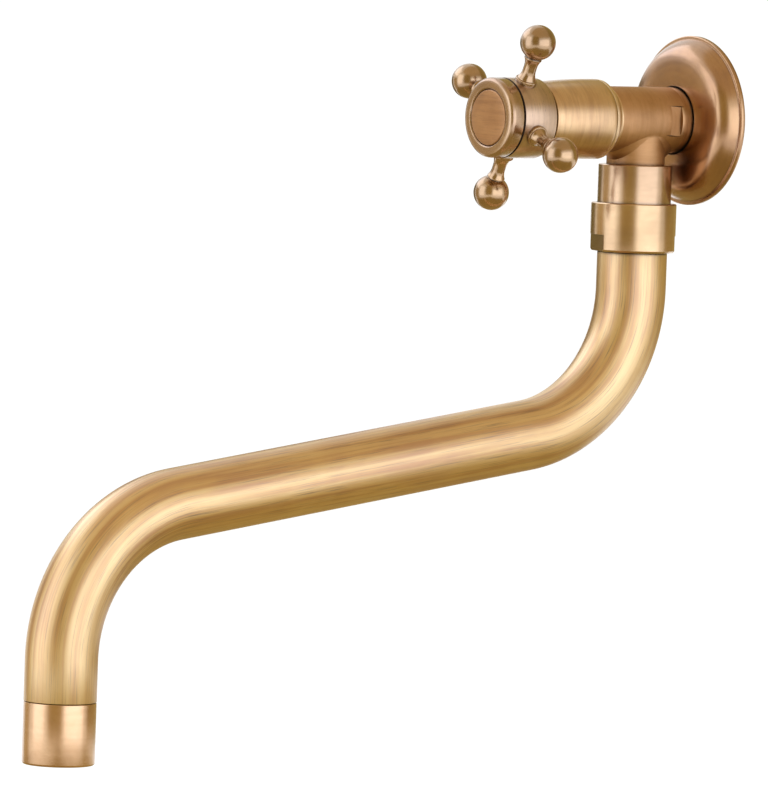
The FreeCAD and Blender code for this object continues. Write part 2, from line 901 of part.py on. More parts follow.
def make_bonnet():
    """A spun cover with a slight belly that centres on the headwork's flange."""
    outer = size.flare_radius
    nose = outer - size.bonnet_nose_step
    wall = size.bonnet_wall
    edge = size.bonnet_edge
    land = housing_flange_radius + size.slide_gap
    land_top = flange_top + size.hidden_edge
    middle = between(bonnet_back, bonnet_front, 0.5)
    belly = between(outer, nose, 0.5) + size.bonnet_bulge
    turned("bonnet", on_axis, [
        (land, bonnet_back),
        (outer, bonnet_back),
        (nose, bonnet_front - edge, belly, middle),
        (nose - edge, bonnet_front),
        (size.bonnet_hole_radius, bonnet_front),
        (size.bonnet_hole_radius, bonnet_front - wall),
        (nose - wall - edge, bonnet_front - wall),
        (land + size.light_gap, land_top + size.hidden_edge, belly - wall, middle),
        (land, land_top),
    ])


def make_spindle():
    """The driving foot turns the upper disc, and the splined end carries the handle."""
    shaft = size.shaft_radius
    body = turned("spindle", with_arms, [
        (0.0, moving_disc_top),
        (shaft, moving_disc_top),
        *ring_groove(shaft, size.spindle_ring_wire, spindle_rings[0]),
        *ring_groove(shaft, size.spindle_ring_wire, spindle_rings[1]),
        (shaft, clip_bottom),
        (clip_seat, clip_bottom),
        (clip_seat, clip_top),
        (spline_radius, clip_top),
        (spline_radius, spindle_end - size.hidden_edge),
        (spline_radius - size.hidden_edge, spindle_end),
        (0.0, spindle_end),
    ])
    half = size.foot_width / 2.0
    corner = root(foot_radius * foot_radius - half * half)
    foot = loop([
        (corner, half, foot_radius, 0.0),
        (-corner, half),
        (-corner, -half, -foot_radius, 0.0),
        (corner, -half),
    ])
    extrude(body, [foot], moving_disc_top, size.foot_height)
    tongue_inner = shaft + size.tongue_edge
    tongues = both_sides(tongue_inner, foot_radius - size.tongue_edge, size.tongue_width / 2.0)
    tongue_depth = size.disc_slot_depth - size.light_gap
    extrude(body, tongues, moving_disc_top - tongue_depth, tongue_depth)
    flats_start = castle_floor + size.light_gap
    flats = both_sides(shaft_flat, shaft + size.cut_past, shaft)
    cut(body, flats, flats_start, clip_bottom - flats_start)
    notch_half = size.spline_notch_width / 2.0
    notch_shape = rectangle(spline_root, -notch_half, spline_radius + size.cut_past, notch_half)
    notch = cut(body, [notch_shape], hub_back, spindle_end - hub_back)
    repeat_around(body, notch, size.spline_teeth)
    screw_hole = circle(0.0, 0.0, size.screw_radius + size.thread_gap)
    screw_hole_end = washer_front - size.screw_length - size.screw_hole_spare
    cut(body, [screw_hole], screw_hole_end, spindle_end - screw_hole_end)


def make_spindle_rings():
    wire = size.spindle_ring_wire
    wire_rings("spindle_orings", with_arms, size.shaft_radius - wire, wire, spindle_rings)


def make_stop_ring():
    """Keyed to the spindle's two flats. Its lug runs between the ends of the castle's wall."""
    body = new_body("stop_ring", with_arms)
    bore = size.shaft_radius + size.slide_gap
    flat = shaft_flat + size.slide_gap
    corner = root(bore * bore - flat * flat)
    key = loop([
        (flat, -corner, 0.0, -bore),
        (flat, corner),
        (-flat, corner, 0.0, bore),
        (-flat, -corner),
    ])
    plate = circle(0.0, 0.0, size.stop_ring_radius)
    extrude(body, [plate, key], stop_ring_bottom, size.stop_ring_height)
    lug_root = size.stop_ring_radius - size.stop_lug_root
    lug_middle = -size.handle_travel / 2.0
    lug = sector(lug_root, size.stop_lug_radius, lug_middle, size.stop_lug_angle)
    extrude(body, [lug], stop_ring_bottom, size.stop_ring_height)


def make_spindle_clip():
    """An open ring in the spindle's groove, which keeps it from falling in."""
    body = ring("spindle_clip", with_arms, clip_seat, size.clip_radius, clip_bottom, clip_top)
    split(body, clip_seat * 1.7, size.clip_radius, clip_bottom, size.clip_thickness)


def make_handle_hub():
    """Splined on the spindle, with a threaded hole for each arm and a recess for the screw."""
    outer = size.hub_radius
    edge = size.hidden_edge
    bore = spline_root + size.slide_gap
    body = turned("handle_hub", with_arms, [
        (bore, hub_back),
        (outer - edge, hub_back),
        (outer, hub_back + edge),
        (outer, hub_front - edge),
        (outer - edge, hub_front),
        (size.hub_recess_radius, hub_front),
        (size.hub_recess_radius, web_front),
        (bore, web_front),
    ])
    notch_half = size.spline_hub_notch_width / 2.0
    notch_shape = rectangle(0.0, -notch_half, spline_radius + size.slide_gap, notch_half)
    half_tooth = 180.0 / size.spline_teeth
    notch = cut(body, [notch_shape], hub_back, size.hub_web, turned_by=half_tooth)
    repeat_around(body, notch, size.spline_teeth)
    hole_shape = circle(0.0, arm_distance, size.arm_stub_radius + size.thread_gap)
    hole_bottom = outer - size.arm_stub_length - size.spare_room
    hole = cut(body, [hole_shape], hole_bottom, outer, plane="XZ_Plane")
    repeat_around(body, hole, size.arm_count)


def arm_outline():
    """Foot, flare, waist, cup and ball of one arm, from the hub out."""
    seat = size.hub_radius
    foot = size.arm_foot_radius
    foot_bottom = seat - size.arm_foot_sink
    foot_end = seat + size.arm_foot_height
    line = size.arm_line
    flare = size.arm_flare_radius
    flare_start = foot_end + line
    waist = size.arm_waist_radius
    cup = size.arm_cup_radius
    ball = size.ball_radius
    ball_middle = size.hub_radius + size.arm_length
    ball_neck = cup - size.arm_groove_depth
    ball_start = ball_middle - root(ball * ball - ball_neck * ball_neck)
    cup_top = ball_start - size.arm_groove_height
    cup_bottom = cup_top - size.arm_cup_height
    waist_low = between(flare_start, cup_bottom, 0.46)
    waist_high = between(flare_start, cup_bottom, 0.6)
    return [
        (0.0, foot_bottom),
        (foot, foot_bottom),
        (foot, foot_end - line),
        (foot - line, foot_end),
        (flare, foot_end),
        (flare, flare_start),
        (waist, waist_low, between(waist, flare, 0.25), between(flare_start, waist_low, 0.46)),
        (waist, waist_high),
        (cup, cup_bottom, between(waist, cup, 0.24), between(waist_high, cup_bottom, 0.53)),
        (cup, cup_top),
        (ball_neck, cup_top),
        (ball_neck, ball_start),
        (0.0, ball_middle + ball, ball, ball_middle),
    ]


def make_arm(number):
    """Turned between a saddle that fits the hub and the ball. Its stub screws into the hub."""
    body = new_body(f"handle_arm_{number + 1}", along_arm(number))
    revolve(body, arm_outline())
    saddle = circle(0.0, 0.0, size.hub_radius + size.arm_saddle_gap)
    cut(body, [saddle], 0.0, size.hub_radius * 2.0, plane="XZ_Plane", both_ways=True)
    stub_start = size.hub_radius - size.arm_stub_length
    stub_length = size.arm_stub_length + size.arm_foot_height
    extrude(body, [circle(0.0, 0.0, size.arm_stub_radius)], stub_start, stub_length)


def make_handle_screw():
    shank = size.screw_radius
    head = size.screw_head_radius
    edge = size.hidden_edge
    end = washer_front - size.screw_length
    top = washer_front + size.screw_head_height
    body = turned("handle_screw", with_arms, [
        (0.0, end),
        (shank - edge, end),
        (shank, end + edge),
        (shank, washer_front),
        (head, washer_front),
        (head, top - edge),
        (head - edge, top),
        (0.0, top),
    ])
    socket = hexagon(0.0, 0.0, size.screw_socket_across)
    cut(body, [socket], top - size.screw_socket_depth, size.screw_socket_depth)


def make_screw_washer():
    inner = size.screw_radius + size.washer_gap
    ring("handle_screw_washer", with_arms, inner, size.screw_washer_radius, web_front, washer_front)


def make_handle_cap():
    """The cap's spigot is pressed into the hub, and a shadow gap runs between them."""
    spigot = size.hub_recess_radius - size.light_gap
    inside = spigot - size.cap_wall
    outer = size.hub_radius
    land = outer - size.cap_land_step
    shadow_top = hub_front + size.cap_shadow_gap
    side_top = cap_face - size.cap_round
    face = outer - size.cap_shoulder
    recess = size.index_radius + size.index_gap
    turned("handle_cap", with_arms, [
        (inside, hub_front - size.cap_spigot_length),
        (spigot, hub_front - size.cap_spigot_length),
        (spigot, hub_front),
        (land, hub_front),
        (land, shadow_top),
        (outer, shadow_top),
        (outer - size.cap_taper, side_top),
        (face, cap_face, between(outer, face, 0.32), between(cap_face, side_top, 0.3)),
        (recess + size.index_chamfer, cap_face),
        (recess, cap_face - size.index_chamfer),
        (recess, index_floor),
        (0.0, index_floor),
        (0.0, index_floor - size.cap_wall),
        (inside, index_floor - size.cap_wall),
    ])


def make_index_plate():
    """A bare round plate, almost flush with the cap's face."""
    top = cap_face - size.index_sink
    turned("index_plate", with_arms, [
        (0.0, index_floor),
        (size.index_radius, index_floor),
        (size.index_radius, top - size.index_chamfer),
        (size.index_radius - size.index_chamfer, top),
        (0.0, top),
    ])


def make_spout_tail():
    """Soldered into the tube. The journal turns in the nut's lip and the spigot in the adapter."""
    spigot = size.tail_spigot_radius
    edge = size.hidden_edge
    bore = size.tail_bore_radius
    plug_rim = plug_radius - size.tail_plug_rim
    turned("spout_tail", at_outlet, [
        (bore, tail_start),
        (spigot - edge, tail_start),
        (spigot, tail_start + edge),
        *ring_groove(spigot, size.spout_ring_wire, spout_rings[0]),
        *ring_groove(spigot, size.spout_ring_wire, spout_rings[1]),
        (spigot, ring_top),
        (split_ring_seat, ring_top),
        (split_ring_seat, ring_bottom),
        (journal_radius, ring_bottom),
        (journal_radius, tube_start),
        (plug_radius, tube_start),
        (plug_radius, tail_end - edge),
        (plug_radius - edge, tail_end),
        (plug_rim, tail_end),
        (bore, tail_end - (plug_rim - bore)),
    ])


def make_spout_rings():
    wire = size.spout_ring_wire
    wire_rings("spout_orings", at_outlet, size.tail_spigot_radius - wire, wire, spout_rings)


def make_split_ring():
    """An open ring that keeps the spout's tail in the nut."""
    body = ring("split_ring", at_outlet, split_ring_seat, split_ring_radius, ring_top, ring_bottom)
    split(body, size.split_ring_opening, split_ring_radius, ring_top, size.split_ring_thickness)


def make_spout_tube():
    """A tube bent out from the wall and down again, swept along its middle line."""
    body = new_body("spout_tube", at_outlet)
    first = size.tube_first_bend
    second = size.tube_second_bend
    half = turn / 2.0
    run_y = first * (1.0 - cosine(turn))
    run_z = bend_start + first * sine(turn)
    run_end_y = run_y + size.tube_run * sine(turn)
    run_end_z = run_z + size.tube_run * cosine(turn)
    tip_z = run_end_z + second * sine(turn)
    stops = [
        (0.0, bend_start),
        (run_y, run_z, first * (1.0 - cosine(half)), bend_start + first * sine(half)),
        (run_end_y, run_end_z),
        (reach, tip_z, reach - second * (1.0 - cosine(half)), tip_z - second * sine(half)),
        (reach, tube_end),
    ]
    path = new_sketch(body, "YZ_Plane", 0.0)
    draw_path(path, (0.0, tube_start), stops)
    section = new_sketch(body, "XY_Plane", tube_start)
    circle(0.0, 0.0, size.tube_radius)(section)
    circle(0.0, 0.0, size.tube_radius - size.tube_wall)(section)
    pipe = body.newObject("PartDesign::AdditivePipe", "bent_tube")
    pipe.Profile = section
    pipe.Spine = (path, [f"Edge{number}" for number in range(1, len(stops) + 1)])


def make_outlet_ferrule():
    """A threaded ring soldered in the end of the tube."""
    thread = ferrule_thread
    bore = thread - size.ferrule_wall
    turned("outlet_ferrule", at_mouth, [
        (bore, -size.ferrule_plug_length),
        (plug_radius, -size.ferrule_plug_length),
        (plug_radius, 0.0),
        (thread, 0.0),
        (thread, size.ferrule_thread_length),
        (bore, size.ferrule_thread_length),
    ])


def make_aerator_housing():
    outer = size.tube_radius
    end = size.aerator_length
    start = size.aerator_seam
    thread = ferrule_thread + size.thread_gap
    thread_end = size.ferrule_thread_length + size.aerator_thread_spare
    lip = insert_radius - size.aerator_lip
    turned("aerator_housing", at_mouth, [
        (thread, start),
        (outer - size.fine_edge, start),
        (outer, start + size.fine_edge),
        (outer, end - size.aerator_edge),
        (outer - size.aerator_edge, end),
        (lip + size.fine_edge, end),
        (lip, end - size.fine_edge),
        (lip, insert_bottom),
        (insert_radius, insert_bottom),
        (insert_radius, thread_end),
        (thread, thread_end),
    ])


def make_aerator_washer():
    start = size.ferrule_thread_length
    hole = insert_outside - size.aerator_washer_width
    ring("aerator_washer", at_mouth, hole, insert_outside, start, insert_top)


def grid_holes():
    """One hole in the middle and two circles of six and twelve around it."""
    radius = size.screen_hole_radius
    holes = [circle(0.0, 0.0, radius)]
    for count, distance in ((6, size.screen_hole_pitch), (12, size.screen_hole_pitch * 2.0)):
        step = 360.0 / count
        for number in range(count):
            angle = step * (number + 0.5)
            holes.append(circle(distance * cosine(angle), distance * sine(angle), radius))
    return holes


def make_aerator_body():
    """A plastic cup with a perforated floor."""
    floor_bottom = insert_floor_top + size.insert_floor
    body = turned("aerator_body", at_mouth, [
        (insert_bore, insert_top),
        (insert_outside, insert_top),
        (insert_outside, insert_bottom),
        (insert_bore, insert_bottom),
        (insert_bore, floor_bottom),
        (0.0, floor_bottom),
        (0.0, insert_floor_top),
        (insert_bore, insert_floor_top),
    ])
    cut(body, grid_holes(), insert_floor_top, size.insert_floor)


def make_aerator_screen():
    body = new_body("aerator_screen", at_mouth)
    disc = [circle(0.0, 0.0, grid_radius)] + grid_holes()
    extrude(body, disc, insert_floor_top - size.screen_thickness, size.screen_thickness)


def make_flow_straightener():
    """A round block of six-sided cells: one in the middle and circles of cells around it."""
    height = size.honeycomb_height
    top = size.aerator_length - size.honeycomb_recess - height
    pitch = (grid_radius - size.honeycomb_rim) / HONEYCOMB_CIRCLES
    across = pitch - size.honeycomb_cell_wall
    body = new_body("flow_straightener", at_mouth)
    extrude(body, [circle(0.0, 0.0, grid_radius)], top, height)
    cut(body, [hexagon(0.0, 0.0, across, 30.0)], top, height)
    sextant = []
    for circle_number in range(1, HONEYCOMB_CIRCLES + 1):
        for step in range(circle_number):
            x = pitch * (circle_number - step * math.cos(math.radians(60.0)))
            y = pitch * (step * math.sin(math.radians(60.0)))
            sextant.append(hexagon(x, y, across, 30.0))
    cells = cut(body, sextant, top, height)
    repeat_around(body, cells, 6)


def check_document():
    """Stop if an object failed, if a cut took nothing away or if a part isn't sound."""
    for thing in doc.Objects:
        if "Invalid" in thing.State or "Error" in thing.State:
            raise RuntimeError(f"{thing.Name} failed: {thing.State}")
        if thing.TypeId in ("PartDesign::Pocket", "PartDesign::Groove"):
            if thing.Shape.Volume > thing.BaseFeature.Shape.Volume - 0.001:
                raise RuntimeError(f"{thing.Name} cuts nothing")
    for part in parts:
        if part.Shape.isNull() or not part.Shape.isValid() or not part.Shape.Solids:
            raise RuntimeError(f"{part.Label} isn't a sound solid")


make_escutcheon()
make_flange_ring()
make_valve_body()
make_outlet_adapter()
make_outlet_washer()
make_swivel_nut()
make_seat_seal()
make_discs()
make_headwork_housing()
make_headwork_gasket()
make_bonnet()
make_spindle()
make_spindle_rings()
make_stop_ring()
make_spindle_clip()
make_handle_hub()
for arm_number in range(int(size.arm_count.value)):
    make_arm(arm_number)
make_handle_screw()
make_screw_washer()
make_handle_cap()
make_index_plate()
make_spout_tail()
make_spout_rings()
make_split_ring()
make_spout_tube()
make_outlet_ferrule()
make_aerator_housing()
make_aerator_washer()
make_aerator_body()
make_aerator_screen()
make_flow_straightener()
doc.recompute()
check_document()
os.makedirs("parts", exist_ok=True)
for part in parts:
    part.Shape.exportStep(f"parts/{part.Label}.step")
    print(part.Label, len(part.Shape.Solids), round(part.Shape.Volume, 2))
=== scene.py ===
import json
import math

import bpy
from mathutils import Matrix, Vector


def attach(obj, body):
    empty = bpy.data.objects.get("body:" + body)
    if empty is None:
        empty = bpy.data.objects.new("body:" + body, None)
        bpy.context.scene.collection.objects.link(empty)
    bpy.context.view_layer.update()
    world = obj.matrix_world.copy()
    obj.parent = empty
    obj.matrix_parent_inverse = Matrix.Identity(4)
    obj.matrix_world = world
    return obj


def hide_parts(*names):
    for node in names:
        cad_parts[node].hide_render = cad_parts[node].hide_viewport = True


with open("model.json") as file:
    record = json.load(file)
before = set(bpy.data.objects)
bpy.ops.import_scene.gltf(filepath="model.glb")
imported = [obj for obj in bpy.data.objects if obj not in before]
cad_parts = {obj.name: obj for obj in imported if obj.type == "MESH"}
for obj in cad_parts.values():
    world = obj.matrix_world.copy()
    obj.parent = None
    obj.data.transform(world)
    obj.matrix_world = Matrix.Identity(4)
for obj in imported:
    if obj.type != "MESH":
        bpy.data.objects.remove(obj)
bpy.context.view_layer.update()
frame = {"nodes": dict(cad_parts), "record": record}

# Wall mounted pot filler in brushed, aged brass. The sizes below are in millimetres.
MM = 0.001
STEPS = 144

FLANGE = 30.3
FLANGE_HEIGHT = 8.9
BARREL = 11.8
FLARE = 14.25
BODY_LENGTH = 44.98
LAND_WIDTH = 1.3
CHAMBER = 10.45
OUTLET_DISTANCE = 25.06
NECK = 10.4
NECK_LENGTH = 25.5
COLLAR = 13.16
NUT = 15.26
NUT_START = 29.69
NUT_END = 47.06
NUT_FLAT_ANGLE = 19.8
HUB = 14.23
HUB_BACK = 71.94
HUB_FRONT = 86.37
ARM_DISTANCE = 80.25
ARM_ANGLE = 23.9
CAP_FACE = 92.19
INDEX = 10.0
INDEX_BACK = 91.05
TUBE = 12.5
TUBE_WALL = 1.2
TUBE_START = 47.36
TUBE_DROP = 59.9
FIRST_BEND = 52.95
RUN = 152.77
SLOPE = 8.3
SECOND_BEND = 52.87
TIP = 14.21

TURN = math.radians(90.0 - SLOPE)
BENDS = FIRST_BEND + SECOND_BEND
REACH = BENDS * (1.0 - math.cos(TURN)) + RUN * math.sin(TURN)
TUBE_END = TUBE_DROP + BENDS * math.sin(TURN) + RUN * math.cos(TURN) + TIP

# Each turned piece is drawn with its axis along z and then stood in its place.
ON_AXIS = Matrix.Rotation(math.radians(90.0), 4, "X")
WITH_ARMS = ON_AXIS @ Matrix.Rotation(math.radians(-ARM_ANGLE), 4, "Z")
DOWN = Matrix.Rotation(math.radians(180.0), 4, "X")
AT_OUTLET = Matrix.Translation((0.0, -OUTLET_DISTANCE * MM, 0.0)) @ DOWN
AT_NUT = AT_OUTLET @ Matrix.Rotation(math.radians(NUT_FLAT_ANGLE), 4, "Z")
MOUTH = Vector((0.0, -(OUTLET_DISTANCE + REACH) * MM, -TUBE_END * MM))
AT_MOUTH = Matrix.Translation(MOUTH) @ DOWN


# ---------------------------------------------------------------- modelling

def alone(piece=None):
    """Leave nothing selected but this piece, so that the next operator works on it only."""
    bpy.ops.object.select_all(action="DESELECT")
    if piece is not None:
        piece.select_set(True)
        bpy.context.view_layer.objects.active = piece


def arc(start, via, end, count):
    """Points on the arc from start through via to end, without start."""
    (ax, ay), (bx, by), (cx, cy) = start, via, end
    double = 2.0 * (ax * (by - cy) + bx * (cy - ay) + cx * (ay - by))
    a2, b2, c2 = ax * ax + ay * ay, bx * bx + by * by, cx * cx + cy * cy
    x = (a2 * (by - cy) + b2 * (cy - ay) + c2 * (ay - by)) / double
    y = (a2 * (cx - bx) + b2 * (ax - cx) + c2 * (bx - ax)) / double
    radius = math.hypot(ax - x, ay - y)
    first, middle, last = (math.atan2(py - y, px - x) for px, py in (start, via, end))
    full = math.tau if double > 0 else -math.tau
    sweep = (last - first) % full
    points = []
    for number in range(1, count + 1):
        angle = first + sweep * number / count
        points.append((x + radius * math.cos(angle), y + radius * math.sin(angle)))
    return points


def between(start, end, share):
    return start + (end - start) * share


def soft_line(points, count):
    """A smooth line through the points, with count steps between each pair."""
    ends = [points[0]] + points + [points[-1]]
    line = []
    for before, start, end, after in zip(ends, ends[1:], ends[2:], ends[3:]):
        for number in range(1, count + 1):
            share = number / count
            line.append(tuple(
                0.5 * (2.0 * b + (c - a) * share + (2.0 * a - 5.0 * b + 4.0 * c - d) * share ** 2
                       + (3.0 * b - a - 3.0 * c + d) * share ** 3)
                for a, b, c, d in zip(before, start, end, after)
            ))
    return line


def draw_outline(name, corners):
    """Draw half of a turned piece's section: (radius, height) corners joined by edges."""
    alone()
    bpy.ops.mesh.primitive_plane_add(size=MM)
    piece = bpy.context.object
    piece.name = name
    piece.data.name = name
    bpy.ops.object.mode_set(mode="EDIT")
    bpy.ops.mesh.select_all(action="SELECT")
    bpy.ops.mesh.merge(type="CENTER")
    radius, height = corners[0]
    bpy.ops.transform.translate(value=(radius * MM, 0.0, height * MM))
    for (x0, z0), (x1, z1) in zip(corners, corners[1:]):
        step = ((x1 - x0) * MM, 0.0, (z1 - z0) * MM)
        bpy.ops.mesh.extrude_vertices_move(TRANSFORM_OT_translate={"value": step})
    bpy.ops.object.mode_set(mode="OBJECT")
    return piece


def spin_round(piece, steps=STEPS):
    """Turn the outline once round z, close the seam and the poles, and face it outwards."""
    alone(piece)
    bpy.ops.object.mode_set(mode="EDIT")
    bpy.ops.mesh.select_all(action="SELECT")
    bpy.ops.mesh.spin(steps=steps, angle=math.tau, center=(0, 0, 0), axis=(0, 0, 1))
    bpy.ops.mesh.select_all(action="SELECT")
    bpy.ops.mesh.remove_doubles(threshold=2e-6)
    bpy.ops.mesh.dissolve_degenerate(threshold=1e-6)
    bpy.ops.mesh.select_all(action="SELECT")
    bpy.ops.mesh.normals_make_consistent(inside=False)
    bpy.ops.object.mode_set(mode="OBJECT")


def face_outwards(piece):
    alone(piece)
    bpy.ops.object.mode_set(mode="EDIT")
    bpy.ops.mesh.select_all(action="SELECT")
    bpy.ops.mesh.normals_make_consistent(inside=False)
    bpy.ops.object.mode_set(mode="OBJECT")


def round_edges(piece, width, segments=2, angle=32.0):
    alone(piece)
    bpy.ops.object.modifier_add(type="BEVEL")
    bevel = piece.modifiers[-1]
    bevel.width = width * MM
    bevel.segments = segments
    bevel.limit_method = "ANGLE"
    bevel.angle_limit = math.radians(angle)
    bpy.ops.object.modifier_apply(modifier=bevel.name)


def smooth(piece, angle=30.0):
    alone(piece)
    bpy.ops.object.shade_smooth_by_angle(angle=math.radians(angle))


def stand(piece, place):
    """Put the piece in its place and keep that place in its mesh."""
    alone(piece)
    piece.matrix_world = place
    bpy.ops.object.transform_apply(location=True, rotation=True, scale=True)


def turned(name, corners, place, edge=0.12, closed=True, steps=STEPS):
    """A piece made on a lathe from half of its section."""
    outline = corners + [corners[0]] if closed else corners
    piece = draw_outline(name, outline)
    spin_round(piece, steps)
    round_edges(piece, edge)
    smooth(piece)
    stand(piece, place)
    return piece


def block(name, low, high):
    """A block between two corners, to cut with."""
    alone()
    size = [(b - a) * MM for a, b in zip(low, high)]
    middle = [(a + b) / 2.0 * MM for a, b in zip(low, high)]
    bpy.ops.mesh.primitive_cube_add(size=1.0, location=middle)
    cutter = bpy.context.object
    cutter.name = name
    cutter.scale = size
    bpy.ops.object.transform_apply(location=True, rotation=True, scale=True)
    return cutter


def cut_away(piece, cutters):
    for cutter in cutters:
        alone(piece)
        bpy.ops.object.modifier_add(type="BOOLEAN")
        cut = piece.modifiers[-1]
        cut.operation = "DIFFERENCE"
        cut.solver = "EXACT"
        cut.object = cutter
        bpy.ops.object.modifier_apply(modifier=cut.name)
        bpy.data.objects.remove(cutter, do_unlink=True)


# ---------------------------------------------------------------- materials

class Finish:
    """A material whose colour, roughness and bump are built from nodes."""

    def __init__(self, name):
        self.material = bpy.data.materials.new(name)
        self.material.use_nodes = True
        self.tree = self.material.node_tree
        self.shader = self.tree.nodes["Principled BSDF"]

    def node(self, kind, **settings):
        made = self.tree.nodes.new("ShaderNode" + kind)
        for key, value in settings.items():
            setattr(made, key, value)
        return made

    def feed(self, source, target):
        self.tree.links.new(source, target)

    def math(self, operation, first, second):
        made = self.node("Math", operation=operation)
        self.feed(first, made.inputs[0])
        if isinstance(second, float):
            made.inputs[1].default_value = second
        else:
            self.feed(second, made.inputs[1])
        return made.outputs[0]

    def vector(self, operation, first, second=None):
        made = self.node("VectorMath", operation=operation)
        self.feed(first, made.inputs[0])
        if isinstance(second, tuple):
            made.inputs[1].default_value = second
        elif second is not None:
            self.feed(second, made.inputs[1])
        return made.outputs["Value" if operation == "LENGTH" else "Vector"]

    def object_millimetres(self, centre=(0.0, 0.0, 0.0)):
        """Object coordinates in millimetres from a point of the piece."""
        place = self.node("TexCoord").outputs["Object"]
        mapping = self.node("Mapping", vector_type="TEXTURE")
        mapping.inputs["Location"].default_value = [value * MM for value in centre]
        mapping.inputs["Scale"].default_value = (MM, MM, MM)
        self.feed(place, mapping.inputs["Vector"])
        return mapping.outputs["Vector"]

    def stretch(self, source, scale):
        return self.vector("MULTIPLY", source, scale)

    def noise(self, source, scale, detail, roughness, distortion=0.0):
        made = self.node("TexNoise")
        made.inputs["Scale"].default_value = scale
        made.inputs["Detail"].default_value = detail
        made.inputs["Roughness"].default_value = roughness
        made.inputs["Distortion"].default_value = distortion
        self.feed(source, made.inputs["Vector"])
        return made.outputs["Fac"]

    def ramp(self, source, stops):
        """The colour that lies between the (position, colour) stops at the source's value."""
        made = self.node("ValToRGB")
        elements = made.color_ramp.elements
        elements[0].position, elements[0].color = stops[0][0], (*stops[0][1], 1.0)
        elements[1].position, elements[1].color = stops[-1][0], (*stops[-1][1], 1.0)
        for position, colour in stops[1:-1]:
            made_stop = elements.new(position)
            made_stop.color = (*colour, 1.0)
        self.feed(source, made.inputs["Fac"])
        return made.outputs["Color"]

    def spread(self, source, low, high, to_low, to_high):
        """The source's values from low to high, spread over to_low to to_high."""
        made = self.node("MapRange")
        for name, value in (("From Min", low), ("From Max", high), ("To Min", to_low), ("To Max", to_high)):
            made.inputs[name].default_value = value
        self.feed(source, made.inputs["Value"])
        return made.outputs["Result"]

    def mix(self, factor, base, over):
        """The base with the fixed colour over it, as much as the factor says."""
        made = self.node("Mix", data_type="RGBA")
        self.feed(factor, made.inputs["Factor"])
        self.feed(base, made.inputs["A"])
        made.inputs["B"].default_value = (*over, 1.0)
        return made.outputs["Result"]

    def bump(self, height, strength, depth):
        made = self.node("Bump")
        made.inputs["Strength"].default_value = strength
        made.inputs["Distance"].default_value = depth * MM
        self.feed(height, made.inputs["Height"])
        self.feed(made.outputs["Normal"], self.shader.inputs["Normal"])


def screen_colour(text):
    """The colour that a six-figure screen code shows, as a shader wants it."""
    values = [int(text[start:start + 2], 16) / 255.0 for start in (0, 2, 4)]
    return tuple(v / 12.92 if v <= 0.04045 else ((v + 0.055) / 1.055) ** 2.4 for v in values)


def brushed_brass(name, grain, tones, rough, lines, streaks=0.5, pitch=3.0, gloss=1.0, gloss_index=2.0):
    """Metal with fine lines along its grain, cloudy ageing, paler worn edges, and corners darkened by patina
    and painted shade.

    grain gives two vectors: one that changes fast across the brush lines and slowly along
    them, and one in plain millimetres. tones are the dark, middle and light colour of the
    ageing. lines is how deep the fine lines are, streaks how strong the broad ones, and
    pitch how close they lie. gloss is the lacquer's share and gloss_index its index.
    """
    finish = Finish(name)
    shader = finish.shader
    across, place = grain(finish)
    fine = finish.noise(across, scale=pitch, detail=3.0, roughness=0.6)
    broad = finish.noise(across, scale=pitch * 0.2, detail=3.0, roughness=0.5)
    clouds = finish.noise(place, scale=0.06, detail=4.0, roughness=0.55, distortion=0.3)
    dark, middle, light = (screen_colour(tone) for tone in tones)
    colour = finish.ramp(clouds, [(0.32, dark), (0.5, middle), (0.7, light)])
    colour = finish.mix(finish.spread(broad, 0.4, 0.66, 0.0, streaks), colour, light)
    colour = finish.mix(finish.spread(broad, 0.34, 0.5, streaks * 0.8, 0.0), colour, dark)
    deep = tuple(part * 0.5 for part in dark)
    colour = finish.mix(finish.spread(fine, 0.3, 0.46, 0.5 * lines, 0.0), colour, deep)
    worn = finish.spread(finish.node("NewGeometry").outputs["Pointiness"], 0.515, 0.57, 0.0, 0.6)
    colour = finish.mix(worn, colour, light)
    # Patina and painted shade: ambient occlusion darkens corners, creases and gaps towards a tenth of the
    # dark tone.
    corner_reach = 1.6
    corners = finish.node("AmbientOcclusion", samples=6)
    corners.inputs["Distance"].default_value = corner_reach * MM
    patina_and_painted_shade = finish.spread(corners.outputs["AO"], 0.3, 0.85, 0.88, 0.0)
    colour = finish.mix(patina_and_painted_shade, colour, tuple(part * 0.1 for part in dark))
    finish.feed(colour, shader.inputs["Base Color"])
    shader.inputs["Metallic"].default_value = 1.0
    roughness = finish.spread(fine, 0.25, 0.75, rough - 0.05 * lines, rough + 0.06 * lines)
    finish.feed(roughness, shader.inputs["Roughness"])
    shader.inputs["Coat Weight"].default_value = gloss
    dullest_coat = 0.36
    shader.inputs["Coat Roughness"].default_value = min(rough, dullest_coat)
    shader.inputs["Coat IOR"].default_value = gloss_index
    finish.bump(fine, 0.12 * lines, 0.03)
    return finish.material


def round_axis(axis, centre=(0.0, 0.0, 0.0)):
    """Lines that run round the Y or Z axis through centre, as a lathe leaves them."""
    flatten = {"Y": (1.0, 0.0, 1.0), "Z": (1.0, 1.0, 0.0)}[axis]

    def grain(finish):
        place = finish.object_millimetres(centre)
        flat = finish.stretch(place, flatten)
        heading = finish.vector("NORMALIZE", flat)
        depth = finish.node("SeparateXYZ")
        finish.feed(place, depth.inputs[0])
        along = finish.math("ADD", finish.vector("LENGTH", flat), depth.outputs[axis])
        stack = finish.node("CombineXYZ")
        finish.feed(along, stack.inputs[axis])
        lines = finish.vector("ADD", finish.stretch(heading, (1.2, 1.2, 1.2)), stack.outputs[0])
        return lines, finish.object_millimetres()

    return grain


